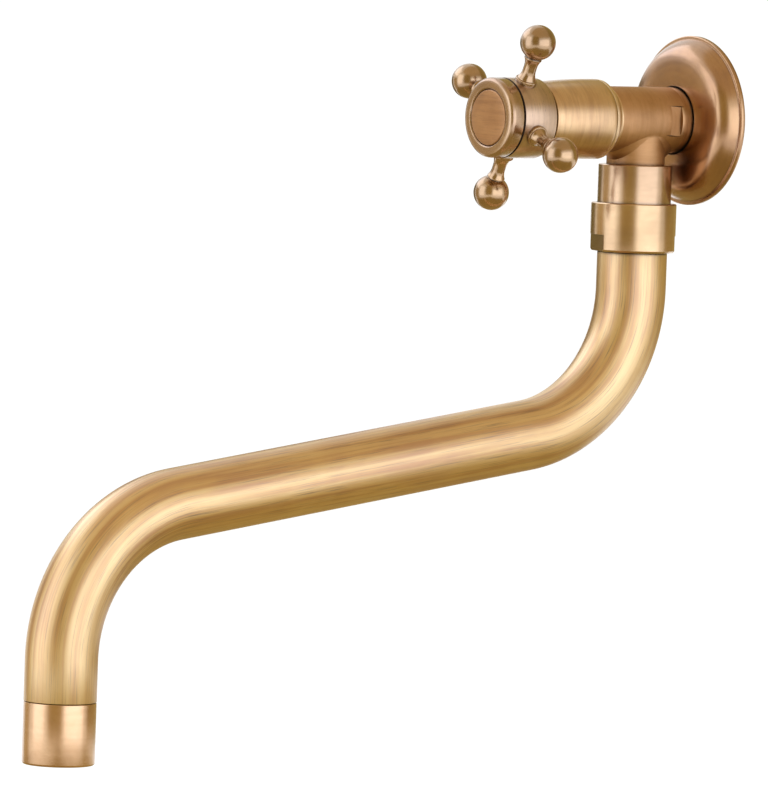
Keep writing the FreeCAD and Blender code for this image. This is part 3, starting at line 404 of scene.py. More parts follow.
def round_arm(finish):
    """Lines that run round each arm: they follow the distance from the body's axis."""
    place = finish.object_millimetres((0.0, -ARM_DISTANCE, 0.0))
    radius = finish.vector("LENGTH", finish.stretch(place, (1.0, 0.0, 1.0)))
    stack = finish.node("CombineXYZ")
    finish.feed(radius, stack.inputs["Y"])
    return finish.vector("ADD", finish.stretch(place, (0.12, 0.12, 0.12)), stack.outputs[0]), place


def straight_lines(finish):
    """Level brush lines on a flat face that looks out of the wall."""
    place = finish.object_millimetres()
    return finish.stretch(place, (0.05, 1.0, 1.0)), place


def along_tube(finish):
    """Lines that run the length of the bent tube, from the way stored in its mesh."""
    way = finish.node("Attribute", attribute_name="tube_way")
    straightened = way.outputs["Vector"]
    return finish.stretch(straightened, (1.0, 1.0, 0.018)), finish.stretch(straightened, (1.0, 1.0, 0.4))


def plain_finish(name, colour, speckle, rough, metallic=0.0, scale=0.6):
    """A quiet surface for an inner piece: a speckled colour and an uneven gloss."""
    finish = Finish(name)
    place = finish.object_millimetres()
    grain = finish.noise(place, scale=scale, detail=5.0, roughness=0.6)
    finish.feed(finish.ramp(grain, [(0.35, colour), (0.65, speckle)]), finish.shader.inputs["Base Color"])
    finish.feed(finish.spread(grain, 0.3, 0.7, rough - 0.06, rough + 0.08), finish.shader.inputs["Roughness"])
    finish.shader.inputs["Metallic"].default_value = metallic
    finish.bump(grain, 0.15, 0.03)
    return finish.material


ROUND_BODY = round_axis("Y")
ROUND_OUTLET = round_axis("Z", (0.0, -OUTLET_DISTANCE, 0.0))
ROUND_MOUTH = round_axis("Z", (0.0, -(OUTLET_DISTANCE + REACH), 0.0))

CAST_TONES = ("A47640", "B68650", "C49662")
TURNED_TONES = ("A87A40", "C09254", "D0A86C")
# A paler copy of the turned tones, for a painted highlight on the flare's land.
LAND_PAINTED_HIGHLIGHT_TONES = ("C09662", "D6B07C", "E4C494")
FLANGE_TONES = ("94622C", "A87438", "BA8A4C")
COLLAR_TONES = ("A27842", "B48A56", "C49C6A")
NUT_TONES = ("AC803C", "C09454", "D0A86C")
HUB_TONES = ("8E683E", "A67C4E", "C09A6C")
CAP_TONES = ("946630", "A87A40", "C0965A")
ARM_TONES = ("8C6424", "A07432", "B88C4A")
INDEX_TONES = ("A26E36", "B27C42", "C08C52")
TUBE_TONES = ("BA7C1C", "D29E34", "E2BC6C")
MOUTH_TONES = ("BC8A4C", "D0A068", "DEB280")

casting_brass = brushed_brass("casting_brass", ROUND_BODY, CAST_TONES, 0.55, 0.4, streaks=0.3, gloss=0.3)
neck_brass = brushed_brass("neck_brass", ROUND_OUTLET, CAST_TONES, 0.52, 0.3, streaks=0.3, gloss=0.3)
body_brass = brushed_brass("body_brass", ROUND_BODY, TURNED_TONES, 0.31, 0.6)
# Painted highlight material for the land at the flare's front end.
land_painted_highlight_brass = brushed_brass("land_painted_highlight_brass", ROUND_BODY, LAND_PAINTED_HIGHLIGHT_TONES, 0.34, 0.4, streaks=0.3)
flange_brass = brushed_brass("flange_brass", ROUND_BODY, FLANGE_TONES, 0.24, 0.25, streaks=0.2)
collar_brass = brushed_brass("collar_brass", ROUND_OUTLET, COLLAR_TONES, 0.24, 0.15, streaks=0.15,
                             gloss_index=2.1)
nut_brass = brushed_brass("nut_brass", ROUND_OUTLET, NUT_TONES, 0.24, 0.15, streaks=0.15, gloss_index=2.2)
hub_brass = brushed_brass("hub_brass", ROUND_BODY, HUB_TONES, 0.29, 0.6, gloss_index=2.3)
cap_brass = brushed_brass("cap_brass", ROUND_BODY, CAP_TONES, 0.25, 0.3, gloss_index=2.3)
arm_brass = brushed_brass("arm_brass", round_arm, ARM_TONES, 0.21, 0.15, streaks=0.2, gloss_index=2.2)
index_brass = brushed_brass("index_brass", straight_lines, INDEX_TONES, 0.4, 0.8, gloss=0.6)
tube_brass = brushed_brass("tube_brass", along_tube, TUBE_TONES, 0.42, 1.7, streaks=0.75, pitch=2.6,
                           gloss_index=2.5)
mouth_brass = brushed_brass("mouth_brass", ROUND_MOUTH, MOUTH_TONES, 0.25, 0.1, streaks=0.2)
# Near-black painted shade for the faces inside the gaps between parts.
gap_painted_shade = plain_finish("gap_painted_shade", (0.035, 0.016, 0.007), (0.02, 0.01, 0.005), 0.6, 0.6)
raw_brass = plain_finish("raw_brass", (0.52, 0.33, 0.10), (0.66, 0.46, 0.18), 0.3, 1.0)
black_rubber = plain_finish("black_rubber", (0.012, 0.012, 0.012), (0.03, 0.03, 0.03), 0.7)
grey_fibre = plain_finish("grey_fibre", (0.17, 0.11, 0.07), (0.26, 0.18, 0.12), 0.8, scale=2.5)
white_ceramic = plain_finish("white_ceramic", (0.72, 0.72, 0.68), (0.8, 0.8, 0.77), 0.16, scale=1.5)
grey_plastic = plain_finish("grey_plastic", (0.055, 0.052, 0.05), (0.09, 0.086, 0.082), 0.45)
spring_steel = plain_finish("spring_steel", (0.42, 0.42, 0.42), (0.56, 0.56, 0.57), 0.28, 1.0)

INNER_FINISHES = {
    "raw_brass": raw_brass,
    "black_rubber": black_rubber,
    "grey_fibre": grey_fibre,
    "white_ceramic": white_ceramic,
    "grey_plastic": grey_plastic,
    "spring_steel": spring_steel,
}


def coat_with(piece, material):
    piece.data.materials.clear()
    piece.data.materials.append(material)


def coat_part(piece, material, chosen):
    """Give a second finish to the faces that chosen picks by their middle and normal, in millimetres."""
    piece.data.materials.append(material)
    number = len(piece.data.materials) - 1
    for face in piece.data.polygons:
        if chosen(face.center / MM, face.normal):
            face.material_index = number


def radius_of(middle):
    """How far a point is from the body's axis."""
    return math.hypot(middle.x, middle.z)


def finish_piece(piece, material, slot, body, *nodes):
    """Give the piece its finish, let it ride on its body and stand for its CAD nodes."""
    coat_with(piece, material)
    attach(piece, body)
    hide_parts(*nodes)


# ---------------------------------------------------------------- the wall side

def make_escutcheon():
    """A spun flange with a stepped rim, a soft shoulder and a rolled hole.

    Its face stands up to 0.8 mm higher than the solid's, because the photo shows a fuller shoulder.
    """
    hole, hole_depth, shell = BARREL + 0.3, 3.5, 1.0
    rim_height, rim_step, rim_bore = 1.7, 29.0, 28.0
    shoulder = (22.2, 6.9)
    inner_face = FLANGE_HEIGHT - shell
    bend = (between(22.5, rim_step, 0.78) - 0.75, between(rim_height, inner_face, 0.64) - 0.65)
    dish = (between(hole, 22.5, 0.5), inner_face - 0.3)
    face = [(hole + 0.5, FLANGE_HEIGHT), (15.5, 8.84), (17.4, 8.76), (19.0, 8.64), (20.4, 8.5), (21.7, 8.32)]
    face += [(23.0, 8.04), (24.2, 7.62), (25.3, 7.0), (26.3, 6.16), (27.2, 5.1), (28.0, 3.85), (28.6, 2.75)]
    face += [(rim_step, 1.95)]
    corners = [(hole, hole_depth), (hole, FLANGE_HEIGHT - 0.5)]
    corners += arc((hole, FLANGE_HEIGHT - 0.5), (hole + 0.17, FLANGE_HEIGHT - 0.12), face[0], 4)
    corners += soft_line(face, 5)
    corners += [(rim_step, rim_height), (FLANGE - 0.5, rim_height)]
    corners += arc(corners[-1], (FLANGE - 0.15, rim_height - 0.15), (FLANGE, rim_height - 0.5), 4)
    corners += [(FLANGE, 0.0), (rim_bore, 0.0), (rim_bore, rim_height)]
    corners += arc((rim_bore, rim_height), bend, shoulder, 14)
    corners += arc(shoulder, dish, (hole + shell, inner_face), 6)
    corners += [(hole + shell, hole_depth)]
    piece = turned("wall_flange", corners, ON_AXIS, edge=0.12, steps=192)
    finish_piece(piece, flange_brass, "aged_brass", "tap_body", "escutcheon")


def barrel_corners():
    """The core of the inlet thread, the barrel, the flare that meets the bonnet and the chamber."""
    inlet_end, inlet_bore, inlet_core = -15.0, 6.5, 9.3
    barrel_start, flare_start = 3.0, 40.1
    groove_low, groove_high, groove_depth = 5.3, 6.7, 0.82
    chamber_end, well, well_start, well_floor, port, port_end = 36.03, 9.4, 34.98, 16.0, 5.5, 12.0
    corners = [(inlet_bore, inlet_end), (inlet_core - 0.2, inlet_end), (inlet_core, inlet_end + 0.2)]
    corners += [(inlet_core, barrel_start), (BARREL - 0.35, barrel_start), (BARREL, barrel_start + 0.35)]
    corners += [(BARREL, groove_low), (BARREL - groove_depth, groove_low)]
    corners += [(BARREL - groove_depth, groove_high), (BARREL, groove_high)]
    corners += [(BARREL, 12.0), (BARREL, 20.0), (BARREL, 30.0), (BARREL, 40.38)]
    land = BODY_LENGTH - LAND_WIDTH
    via = (between(BARREL, FLARE, 0.26), between(flare_start, land, 0.7))
    corners += arc((BARREL, flare_start), via, (FLARE - 0.1, land), 14)
    corners += [(FLARE, BODY_LENGTH - 0.25), (FLARE - 0.25, BODY_LENGTH)]
    corners += [(CHAMBER, BODY_LENGTH), (CHAMBER, chamber_end), (well, well_start)]
    corners += [(well, well_floor), (port, well_floor), (port, port_end), (inlet_bore, port_end - 1.0)]
    return corners


# The neck is drawn as rings of edges, counted from the top of its bore.
EDGE_RINGS = (2, 3)
FILLET_RINGS = (4, 10)
LAST_RING = 12


def make_neck():
    """The outlet neck, with the rounded saddle where it grows out of the barrel.

    The saddle's fillet is 2.7 mm, judged from the photo, and 1.5 mm on the solid.
    """
    fillet = 2.7
    alone()
    bpy.ops.mesh.primitive_circle_add(vertices=STEPS, radius=NECK * MM, fill_type="NOTHING")
    neck = bpy.context.object
    neck.name = "outlet_neck"
    bpy.ops.object.mode_set(mode="EDIT")
    bpy.ops.mesh.select_all(action="SELECT")
    for _ in range(LAST_RING):
        bpy.ops.mesh.extrude_edges_move(TRANSFORM_OT_translate={"value": (0.0, 0.0, MM)})
    bpy.ops.object.mode_set(mode="OBJECT")
    for vertex in neck.data.vertices:
        ring = round(vertex.co.z / MM)
        angle = math.atan2(vertex.co.x, vertex.co.y)
        vertex.co = saddle_point(angle, ring, fillet)
    alone(neck)
    bpy.ops.object.mode_set(mode="EDIT")
    bpy.ops.mesh.select_all(action="DESELECT")
    bpy.ops.mesh.select_mode(type="EDGE")
    bpy.ops.mesh.select_non_manifold()
    bpy.ops.mesh.bridge_edge_loops()
    bpy.ops.mesh.select_mode(type="VERT")
    bpy.ops.object.mode_set(mode="OBJECT")
    face_outwards(neck)
    return neck


def saddle_point(angle, ring, fillet):
    """Where a ring of the neck passes at an angle round the outlet's axis, in the body's frame.

    The rings go down the bore, over the broken edge at the end, up the outside into the
    fillet, round it, and then a little way under the barrel's skin.
    """
    sine, cosine = math.sin(angle), math.cos(angle)
    broken, bore, bore_top = 0.15, NECK - 3.4, 17.0
    slide, sink = 0.35, 0.07
    if ring < EDGE_RINGS[0]:
        height = NECK_LENGTH if ring else bore_top
        return Vector((bore * sine, -(OUTLET_DISTANCE + bore * cosine), -height)) * MM
    if ring in EDGE_RINGS:
        radius = NECK - broken * (EDGE_RINGS[1] - ring)
        height = NECK_LENGTH - broken * (ring - EDGE_RINGS[0])
        return Vector((radius * sine, -(OUTLET_DISTANCE + radius * cosine), -height)) * MM
    reach = NECK + fillet
    x = reach * sine
    drop = math.sqrt((BARREL + fillet) ** 2 - x * x)
    centre = Vector((x, -(OUTLET_DISTANCE + reach * cosine), -drop))
    to_neck = Vector((-sine, cosine, 0.0))
    to_barrel = Vector((-x, 0.0, drop)) / (BARREL + fillet)
    first, last = FILLET_RINGS
    if ring <= last:
        share = (ring - first) / (last - first)
        return (centre + to_neck.slerp(to_barrel, share) * fillet) * MM
    onto = centre + to_barrel * fillet
    away = Vector((sine, -cosine, 0.0))
    away = (away - to_barrel * away.dot(to_barrel)).normalized()
    slid = onto + away * (slide * (ring - last))
    depth = BARREL - sink * (ring - last)
    level = math.hypot(slid.x, slid.z)
    return Vector((slid.x * depth / level, slid.y, slid.z * depth / level)) * MM


def make_valve_body():
    """A cast tee: the turned barrel with its wrench flats, and the neck with its saddle."""
    piece = draw_outline("valve_body_casting", barrel_corners() + [barrel_corners()[0]])
    spin_round(piece)
    flat, past, low, high = 10.48, BARREL + 2.0, 13.4, 18.25
    cut_away(piece, [
        block("flat_cutter", (flat, -past, low), (past, past, high)),
        block("flat_cutter", (-past, -past, low), (-flat, past, high)),
    ])
    round_edges(piece, 0.14, 3, 24.0)
    smooth(piece, 24.0)
    stand(piece, ON_AXIS)
    neck = make_neck()
    coat_with(piece, casting_brass)
    turned_flare, turned_wall_end, shoulder = -40.2, -13.3, -2.9
    coat_part(piece, body_brass,
              lambda middle, normal: middle.y < turned_flare or turned_wall_end < middle.y < shoulder)
    coat_part(piece, raw_brass,
              lambda middle, normal: middle.y > shoulder or radius_of(middle) < CHAMBER + 0.01)
    # Painted highlight: the land at the flare's front end takes the paler tones.
    coat_part(piece, land_painted_highlight_brass, lambda middle, normal: middle.y < -BODY_LENGTH + LAND_WIDTH + 0.05)
    # Painted shade on the barrel's front face, in the gap behind the bonnet.
    coat_part(piece, gap_painted_shade, lambda middle, normal: normal.y < -0.9 and middle.y < -BODY_LENGTH + 0.08)
    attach(piece, "tap_body")
    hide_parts("valve_body")
    smooth(neck, 25.0)
    finish_piece(neck, neck_brass, "aged_brass", "tap_body", "valve_body")


def make_inlet_thread():
    """The ridge that winds round the inlet's core: 14 turns to the inch."""
    pitch, root, crest = 25.4 / 14.0, 9.25, 10.48
    turns, start, run_in, rounding = 8, -14.93, 0.9, 0.12
    outline = [(root, 0.0), (crest - rounding, pitch * 0.40), (crest, pitch * 0.45)]
    outline += [(crest, pitch * 0.55), (crest - rounding, pitch * 0.60), (root, pitch * 0.96)]
    ridge = draw_outline("inlet_thread_ridge", outline + [outline[0]])
    bpy.ops.object.mode_set(mode="EDIT")
    bpy.ops.mesh.select_all(action="SELECT")
    bpy.ops.mesh.remove_doubles(threshold=2e-6)
    bpy.ops.object.mode_set(mode="OBJECT")
    bpy.ops.object.modifier_add(type="SCREW")
    screw = ridge.modifiers[-1]
    screw.axis = "Z"
    screw.angle = math.tau
    screw.screw_offset = pitch * MM
    screw.iterations = turns
    screw.steps = 72
    screw.render_steps = 72
    screw.use_merge_vertices = False
    bpy.ops.object.modifier_apply(modifier=screw.name)
    length = pitch * (turns + 1)
    for vertex in ridge.data.vertices:
        radius = math.hypot(vertex.co.x, vertex.co.y) / MM
        height = vertex.co.z / MM
        room = min(height, length - height) * run_in
        wanted = min(radius, root + max(room, 0.0))
        vertex.co.x *= wanted / radius
        vertex.co.y *= wanted / radius
        vertex.co.z = (height + start) * MM
    bpy.ops.object.mode_set(mode="EDIT")
    bpy.ops.mesh.select_all(action="SELECT")
    bpy.ops.mesh.fill_holes(sides=8)
    bpy.ops.object.mode_set(mode="OBJECT")
    face_outwards(ridge)
    smooth(ridge, 35.0)
    stand(ridge, ON_AXIS)
    finish_piece(ridge, raw_brass, "aged_brass", "tap_body", "valve_body")


def make_bonnet():
    """A spun cover with a slight belly and a softly broken front edge."""
    back, front, nose, bore, wall = 45.15, 70.7, 12.9, 6.6, 1.2
    thread, thread_end = 12.45, 50.38
    middle = between(back, front, 0.5)
    belly = between(FLARE, nose, 0.5) + 0.35
    corners = [(thread, back), (FLARE, back)]
    corners += arc((FLARE, back), (belly, middle), (nose, front - 0.5), 18)
    corners += arc((nose, front - 0.5), (nose - 0.15, front - 0.15), (nose - 0.5, front), 4)
    corners += [(bore, front), (bore, front - wall), (nose - 1.7, front - wall)]
    corners += arc(corners[-1], (belly - wall, middle), (thread + 0.1, thread_end + 0.4), 8)
    corners += [(thread, thread_end)]
    piece = turned("bonnet_cover", corners, ON_AXIS, edge=0.1)
    finish_piece(piece, body_brass, "aged_brass", "tap_body", "bonnet")
    # Painted shade on the bonnet's back face and its inner faces.
    coat_part(piece, gap_painted_shade,
              lambda middle, normal: middle.y > -back - 0.05 or radius_of(middle) < thread - 0.15)


# ---------------------------------------------------------------- the outlet

def make_outlet_adapter():
    """The collar that screws onto the neck, with a washer's seat and a bore for the spout's spigot."""
    top, end, broken, deep_broken = 15.93, 40.2, 0.3, 0.8
    thread, waterway, spigot, washer_seat, spigot_seat = 10.45, 7.0, 8.55, 26.5, 28.5
    corners = [
        (thread, top), (COLLAR - broken, top), (COLLAR, top + broken),
        (COLLAR, end - deep_broken), (COLLAR - deep_broken, end),
        (spigot + 0.4, end), (spigot, end - 0.4), (spigot, spigot_seat), (waterway, spigot_seat),
        (waterway, washer_seat), (thread, washer_seat),
    ]
    piece = turned("outlet_collar", corners, AT_OUTLET, edge=0.1)
    finish_piece(piece, collar_brass, "collar_brass", "tap_body", "outlet_adapter")
    # Painted shade on the collar's lower part, inside the nut.
    coat_part(piece, gap_painted_shade, lambda middle, normal: middle.z < -NUT_START - 0.4)


def make_swivel_nut():
    """The nut that carries the spout, with a wrench flat on two sides of its lower end."""
    bore, lip, lip_start, ring_room, thread_end = 13.21, 9.68, 44.16, 11.9, 40.5
    broken, deep_broken, flat_start = 0.3, 0.7, 41.06
    corners = [
        (bore, NUT_START), (NUT - broken, NUT_START), (NUT, NUT_START + broken), (NUT, flat_start),
        (NUT, NUT_END - deep_broken), (NUT - deep_broken, NUT_END), (lip, NUT_END), (lip, lip_start),
        (ring_room, lip_start), (ring_room, thread_end), (bore, thread_end),
    ]
    piece = draw_outline("swivel_nut_turned", corners + [corners[0]])
    spin_round(piece, 180)
    flat, past, below = 13.35, NUT + 2.0, NUT_END + 1.0
    cut_away(piece, [
        block("flat_cutter", (-past, flat, flat_start), (past, past, below)),
        block("flat_cutter", (-past, -past, flat_start), (past, -flat, below)),
    ])
    round_edges(piece, 0.13, 3, 24.0)
    smooth(piece, 24.0)
    stand(piece, AT_NUT)
    finish_piece(piece, nut_brass, "nut_brass", "tap_body", "swivel_nut")
    # Painted shade on the nut's underside, round the tube.
    coat_part(piece, gap_painted_shade, lambda middle, normal: normal.z < -0.9 and middle.z < -NUT_END + 0.1)


# ---------------------------------------------------------------- the handle

def make_handle_hub():
    """The hub that the arms screw into: a splined bore behind, and room for the cap in front."""
    bore, recess, recess_floor, broken, back_ring = 3.6, 9.0, 80.44, 0.4, 12.7
    corners = [
        (bore, HUB_BACK), (back_ring, HUB_BACK), (HUB - broken, HUB_BACK), (HUB, HUB_BACK + broken),
        (HUB, HUB_FRONT - broken), (HUB - broken, HUB_FRONT),
        (recess, HUB_FRONT), (recess, recess_floor), (bore, recess_floor),
    ]
    piece = turned("handle_hub_turned", corners, WITH_ARMS, edge=0.1, steps=180)
    finish_piece(piece, hub_brass, "hub_brass", "handle", "handle_hub")
    # Painted shade on the hub's front face behind the cap and on its back face round the bore.
    coat_part(piece, gap_painted_shade, lambda middle, normal: middle.y < -HUB_FRONT + 0.38
              or normal.y > 0.9 and radius_of(middle) < back_ring)
    coat_part(piece, raw_brass,
              lambda middle, normal: radius_of(middle) < recess + 0.1 and abs(normal.y) < 0.5)


def make_handle_cap():
    """The cap's rounded rim stands proud of a fine groove round the index plate."""
    side, face, rim_start = CAP_FACE - 2.2, HUB - 1.33, HUB_FRONT + 0.5
    skirt, skirt_bore, skirt_end, inner_face, shadow_ring = 8.9, 7.5, 83.57, 89.65, 12.2
    groove = INDEX + 0.06
    via = (between(HUB, face, 0.32), between(CAP_FACE, side, 0.3))
    corners = [(0.0, inner_face), (skirt_bore, inner_face), (skirt_bore, skirt_end), (skirt, skirt_end)]
    corners += [(skirt, HUB_FRONT), (shadow_ring, HUB_FRONT), (shadow_ring, rim_start), (HUB, rim_start)]
    corners += [(HUB - 0.1, side)]
    corners += arc((HUB - 0.1, side), via, (face, CAP_FACE), 10)
    corners += [(groove + 0.45, CAP_FACE), (groove, CAP_FACE - 0.45), (groove, INDEX_BACK), (0.0, INDEX_BACK)]
    piece = turned("cap_cover", corners, WITH_ARMS, edge=0.1, closed=False, steps=180)
    finish_piece(piece, cap_brass, "hub_brass", "handle", "handle_cap")
    # Painted shade on the cap's back faces and skirt, in the gap at the hub.
    coat_part(piece, gap_painted_shade,
              lambda middle, normal: middle.y > -HUB_FRONT - 0.8 and radius_of(middle) < HUB - 0.13)


def make_index_plate():
    """The bare round plate in the cap."""
    top, broken = 92.05, 0.45
    corners = [(0.0, INDEX_BACK), (INDEX, INDEX_BACK), (INDEX, top - broken), (INDEX - broken, top)]
    corners += [(INDEX / 2.0, top), (0.0, top)]
    piece = turned("index_disc", corners, WITH_ARMS, edge=0.08, closed=False)
    finish_piece(piece, index_brass, "index_brass", "handle", "index_plate")


def arm_corners():
    """Foot, flare, waist, cup and ball, from the hub out."""
    foot, foot_end, flare, waist, cup = 3.9, HUB + 1.1, 3.3, 2.35, 3.15
    flare_start = foot_end + 0.2
    ball, ball_middle = 6.31, HUB + 15.22
    neck = cup - 0.35
    ball_start = ball_middle - math.sqrt(ball * ball - neck * neck)
    cup_top = ball_start - 0.25
    cup_bottom = cup_top - 0.35
    low = between(flare_start, cup_bottom, 0.46)
    high = between(flare_start, cup_bottom, 0.6)
    below_waist = (between(waist, flare, 0.25), between(flare_start, low, 0.46))
    above_waist = (between(waist, cup, 0.24), between(high, cup_bottom, 0.53))
    corners = [(0.0, HUB - 1.5), (foot, HUB - 1.5), (foot, foot_end - 0.2), (foot - 0.2, foot_end)]
    corners += [(flare, foot_end), (flare, flare_start)]
    corners += arc((flare, flare_start), below_waist, (waist, low), 12)
    corners += [(waist, high)]
    corners += arc((waist, high), above_waist, (cup, cup_bottom), 10)
    corners += [(cup, cup_top), (neck, cup_top), (neck, ball_start)]
    corners += arc((neck, ball_start), (ball, ball_middle), (0.0, ball_middle + ball), 30)
    return corners


def saddle_the_foot(arm):
    """Pull the foot's underside onto the hub's round side."""
    for vertex in arm.data.vertices:
        x, z = vertex.co.x / MM, vertex.co.z / MM
        if z < HUB - 0.5:
            vertex.co.z = (math.sqrt((HUB + 0.03) ** 2 - x * x) - 0.25) * MM


def make_arms():
    """One arm is turned, and the other three are copies of it."""
    first = draw_outline("handle_arm_turned_1", arm_corners())
    spin_round(first, 96)
    saddle_the_foot(first)
    round_edges(first, 0.08)
    smooth(first, 35.0)
    arms = [first]
    for number in range(1, 4):
        alone(first)
        bpy.ops.object.duplicate(linked=False)
        copy = bpy.context.object
        copy.name = f"handle_arm_turned_{number + 1}"
        arms.append(copy)
    for number, arm in enumerate(arms):
        turn = Matrix.Rotation(math.radians(ARM_ANGLE + 90.0 * number), 4, "Y")
        stand(arm, Matrix.Translation((0.0, -ARM_DISTANCE * MM, 0.0)) @ turn)
        finish_piece(arm, arm_brass, "arm_brass", "handle", f"handle_arm_{number + 1}")


# ---------------------------------------------------------------- the spout

def tube_place(co):
    """Where a point of the tube's skin lies on the straightened tube: (x, y, length) in millimetres."""
    x, y, z = co.x / MM, -co.y / MM - OUTLET_DISTANCE, -co.z / MM
    run_y = FIRST_BEND * (1.0 - math.cos(TURN))
    run_z = TUBE_DROP + FIRST_BEND * math.sin(TURN)
    out, down = math.sin(TURN), math.cos(TURN)
    along_run = (y - run_y) * out + (z - run_z) * down
    run_start = TUBE_DROP + FIRST_BEND * TURN
    run_end = run_start + RUN
    bend_y, bend_z = REACH - SECOND_BEND, TUBE_END - TIP
    if z <= TUBE_DROP and y < FIRST_BEND:
        return x, y, z
    if along_run <= 0.0:
        angle = math.atan2(z - TUBE_DROP, FIRST_BEND - y)
        return x, FIRST_BEND - math.hypot(z - TUBE_DROP, FIRST_BEND - y), TUBE_DROP + FIRST_BEND * angle
    if along_run <= RUN:
        return x, (y - run_y) * down - (z - run_z) * out, run_start + along_run
    if z <= bend_z:
        angle = math.atan2(y - bend_y, bend_z - z) - math.atan2(down, out)
        return x, math.hypot(y - bend_y, bend_z - z) - SECOND_BEND, run_end + SECOND_BEND * angle
    return x, y - REACH, run_end + SECOND_BEND * TURN + z - bend_z


def make_spout_tube():
    """One ring of edges drawn out, bent, drawn out, bent back and drawn out again."""
    bend_steps, run_pieces = 40, 4
    alone()
    bpy.ops.mesh.primitive_circle_add(
        vertices=STEPS, radius=TUBE * MM, fill_type="NOTHING",
        location=(0.0, -OUTLET_DISTANCE * MM, -TUBE_START * MM),
    )
    tube = bpy.context.object
    tube.name = "spout_tube_bent"
    bpy.ops.object.transform_apply(location=True, rotation=True, scale=True)
    bpy.ops.object.mode_set(mode="EDIT")
    bpy.ops.mesh.select_all(action="SELECT")
    drop = (TUBE_DROP - TUBE_START) * MM
    bpy.ops.mesh.extrude_edges_move(TRANSFORM_OT_translate={"value": (0.0, 0.0, -drop)})
    bend_centre = (0.0, -(OUTLET_DISTANCE + FIRST_BEND) * MM, -TUBE_DROP * MM)
    bpy.ops.mesh.spin(steps=bend_steps, angle=TURN, center=bend_centre, axis=(1, 0, 0))
    run_length = RUN * MM / run_pieces
    run_step = (0.0, -math.sin(TURN) * run_length, -math.cos(TURN) * run_length)
    for _ in range(run_pieces):
        bpy.ops.mesh.extrude_edges_move(TRANSFORM_OT_translate={"value": run_step})
    second_centre = (0.0, -(OUTLET_DISTANCE + REACH - SECOND_BEND) * MM, -(TUBE_END - TIP) * MM)
    bpy.ops.mesh.spin(steps=bend_steps, angle=-TURN, center=second_centre, axis=(1, 0, 0))
    bpy.ops.mesh.extrude_edges_move(TRANSFORM_OT_translate={"value": (0.0, 0.0, -TIP * MM)})
    bpy.ops.mesh.select_all(action="SELECT")
    bpy.ops.mesh.remove_doubles(threshold=2e-6)
    bpy.ops.mesh.normals_make_consistent(inside=False)
    bpy.ops.object.mode_set(mode="OBJECT")
    bpy.ops.object.modifier_add(type="SOLIDIFY")
    wall = tube.modifiers[-1]
    wall.thickness = TUBE_WALL * MM
    wall.offset = -1.0
    bpy.ops.object.modifier_apply(modifier=wall.name)
    round_edges(tube, 0.12)
    smooth(tube, 35.0)
    way = tube.data.attributes.new("tube_way", "FLOAT_VECTOR", "POINT")
    for vertex in tube.data.vertices:
        way.data[vertex.index].vector = tube_place(vertex.co)
    finish_piece(tube, tube_brass, "spout_brass", "spout", "spout_tube")


def make_aerator_housing():
    """The sleeve at the mouth: a thread for the tube's end, room for the insert, and a lip below it."""
    start, end, thread, thread_end, insert, lip, lip_start = 0.15, 21.61, 10.95, 9.4, 10.4, 9.7, 20.21
    broken, deep_broken = 0.3, 0.6
    corners = [
        (thread, start), (TUBE - broken, start), (TUBE, start + broken), (TUBE, 10.0),
        (TUBE, end - deep_broken), (TUBE - deep_broken, end), (lip + broken, end), (lip, end - broken),
        (lip, lip_start), (insert, lip_start), (insert, thread_end), (thread, thread_end),
    ]
    piece = turned("mouth_sleeve", corners, AT_MOUTH, edge=0.14)
    finish_piece(piece, mouth_brass, "mouth_brass", "spout", "aerator_housing")


make_escutcheon()
make_valve_body()
make_inlet_thread()
make_bonnet()
make_outlet_adapter()
make_swivel_nut()
make_handle_hub()
make_handle_cap()
make_index_plate()
make_arms()
make_spout_tube()
make_aerator_housing()

for row in frame["record"]["subparts"]:
    node = frame["nodes"][row["node"]]
    finish = INNER_FINISHES.get(row["material_slot"])
    if finish is not None:
        coat_with(node, finish)
    elif node.hide_render:
        coat_with(node, raw_brass)


# ---------------------------------------------------------------- the studio

AIM = Vector((-40.07, -103.38, -101.25)) * MM
CAMERA_AZIMUTH, CAMERA_HEIGHT, CAMERA_ROLL = 53.11, 3.46, 2.0
CAMERA_DISTANCE = 2.947
SENSOR, LENS = 36.0, 375.85
PANEL_COLOUR = (0.86, 0.96, 1.23)
FLOOR_HEIGHT = -0.42
FLOOR_GLOW = 0.62
ROOM_LIGHT = 0.55

# Name, degrees to the right of the camera, degrees up, distance, width, height, brightness.
PANELS = [
    ("left_panel", -65.0, 10.0, 1.4, 0.95, 1.5, 0.95),
    ("right_panel", 44.0, 4.0, 1.4, 1.75, 1.0, 1.1),
    ("shoulder_panel", -122.0, 40.0, 1.4, 1.2, 0.8, 1.2),
]

# The same for the cards, with the shade and the tint of what the gloss sees.
GOLDEN = (1.0, 0.75, 0.27)
PALE_GOLDEN = (1.0, 0.78, 0.42)
SOFT_GOLDEN = (1.0, 0.79, 0.48)
CARDS = [
    ("front_card", -15.0, 12.0, 1.5, 1.15, 1.9, 0.45, GOLDEN),
    ("left_card", -106.0, 0.0, 0.5, 0.3, 0.45, 0.58, PALE_GOLDEN),
    ("nut_card", -156.0, 7.0, 0.33, 0.24, 0.24, 0.2, GOLDEN),
    ("wall_card", 132.0, 10.0, 1.3, 2.2, 2.4, 0.44, GOLDEN),
    ("top_card", 40.0, 70.0, 1.4, 2.6, 2.0, 0.68, SOFT_GOLDEN),
    ("under_card", 50.0, -90.0, 0.26, 1.1, 1.1, 0.44, GOLDEN),
]


def towards(right_angle, height_angle):
    """A direction from the tap: degrees to the right of the camera, and degrees above the floor."""
    azimuth = math.radians(CAMERA_AZIMUTH + right_angle)
    height = math.radians(height_angle)
    return Vector((
        math.sin(azimuth) * math.cos(height), -math.cos(azimuth) * math.cos(height), math.sin(height),
    ))


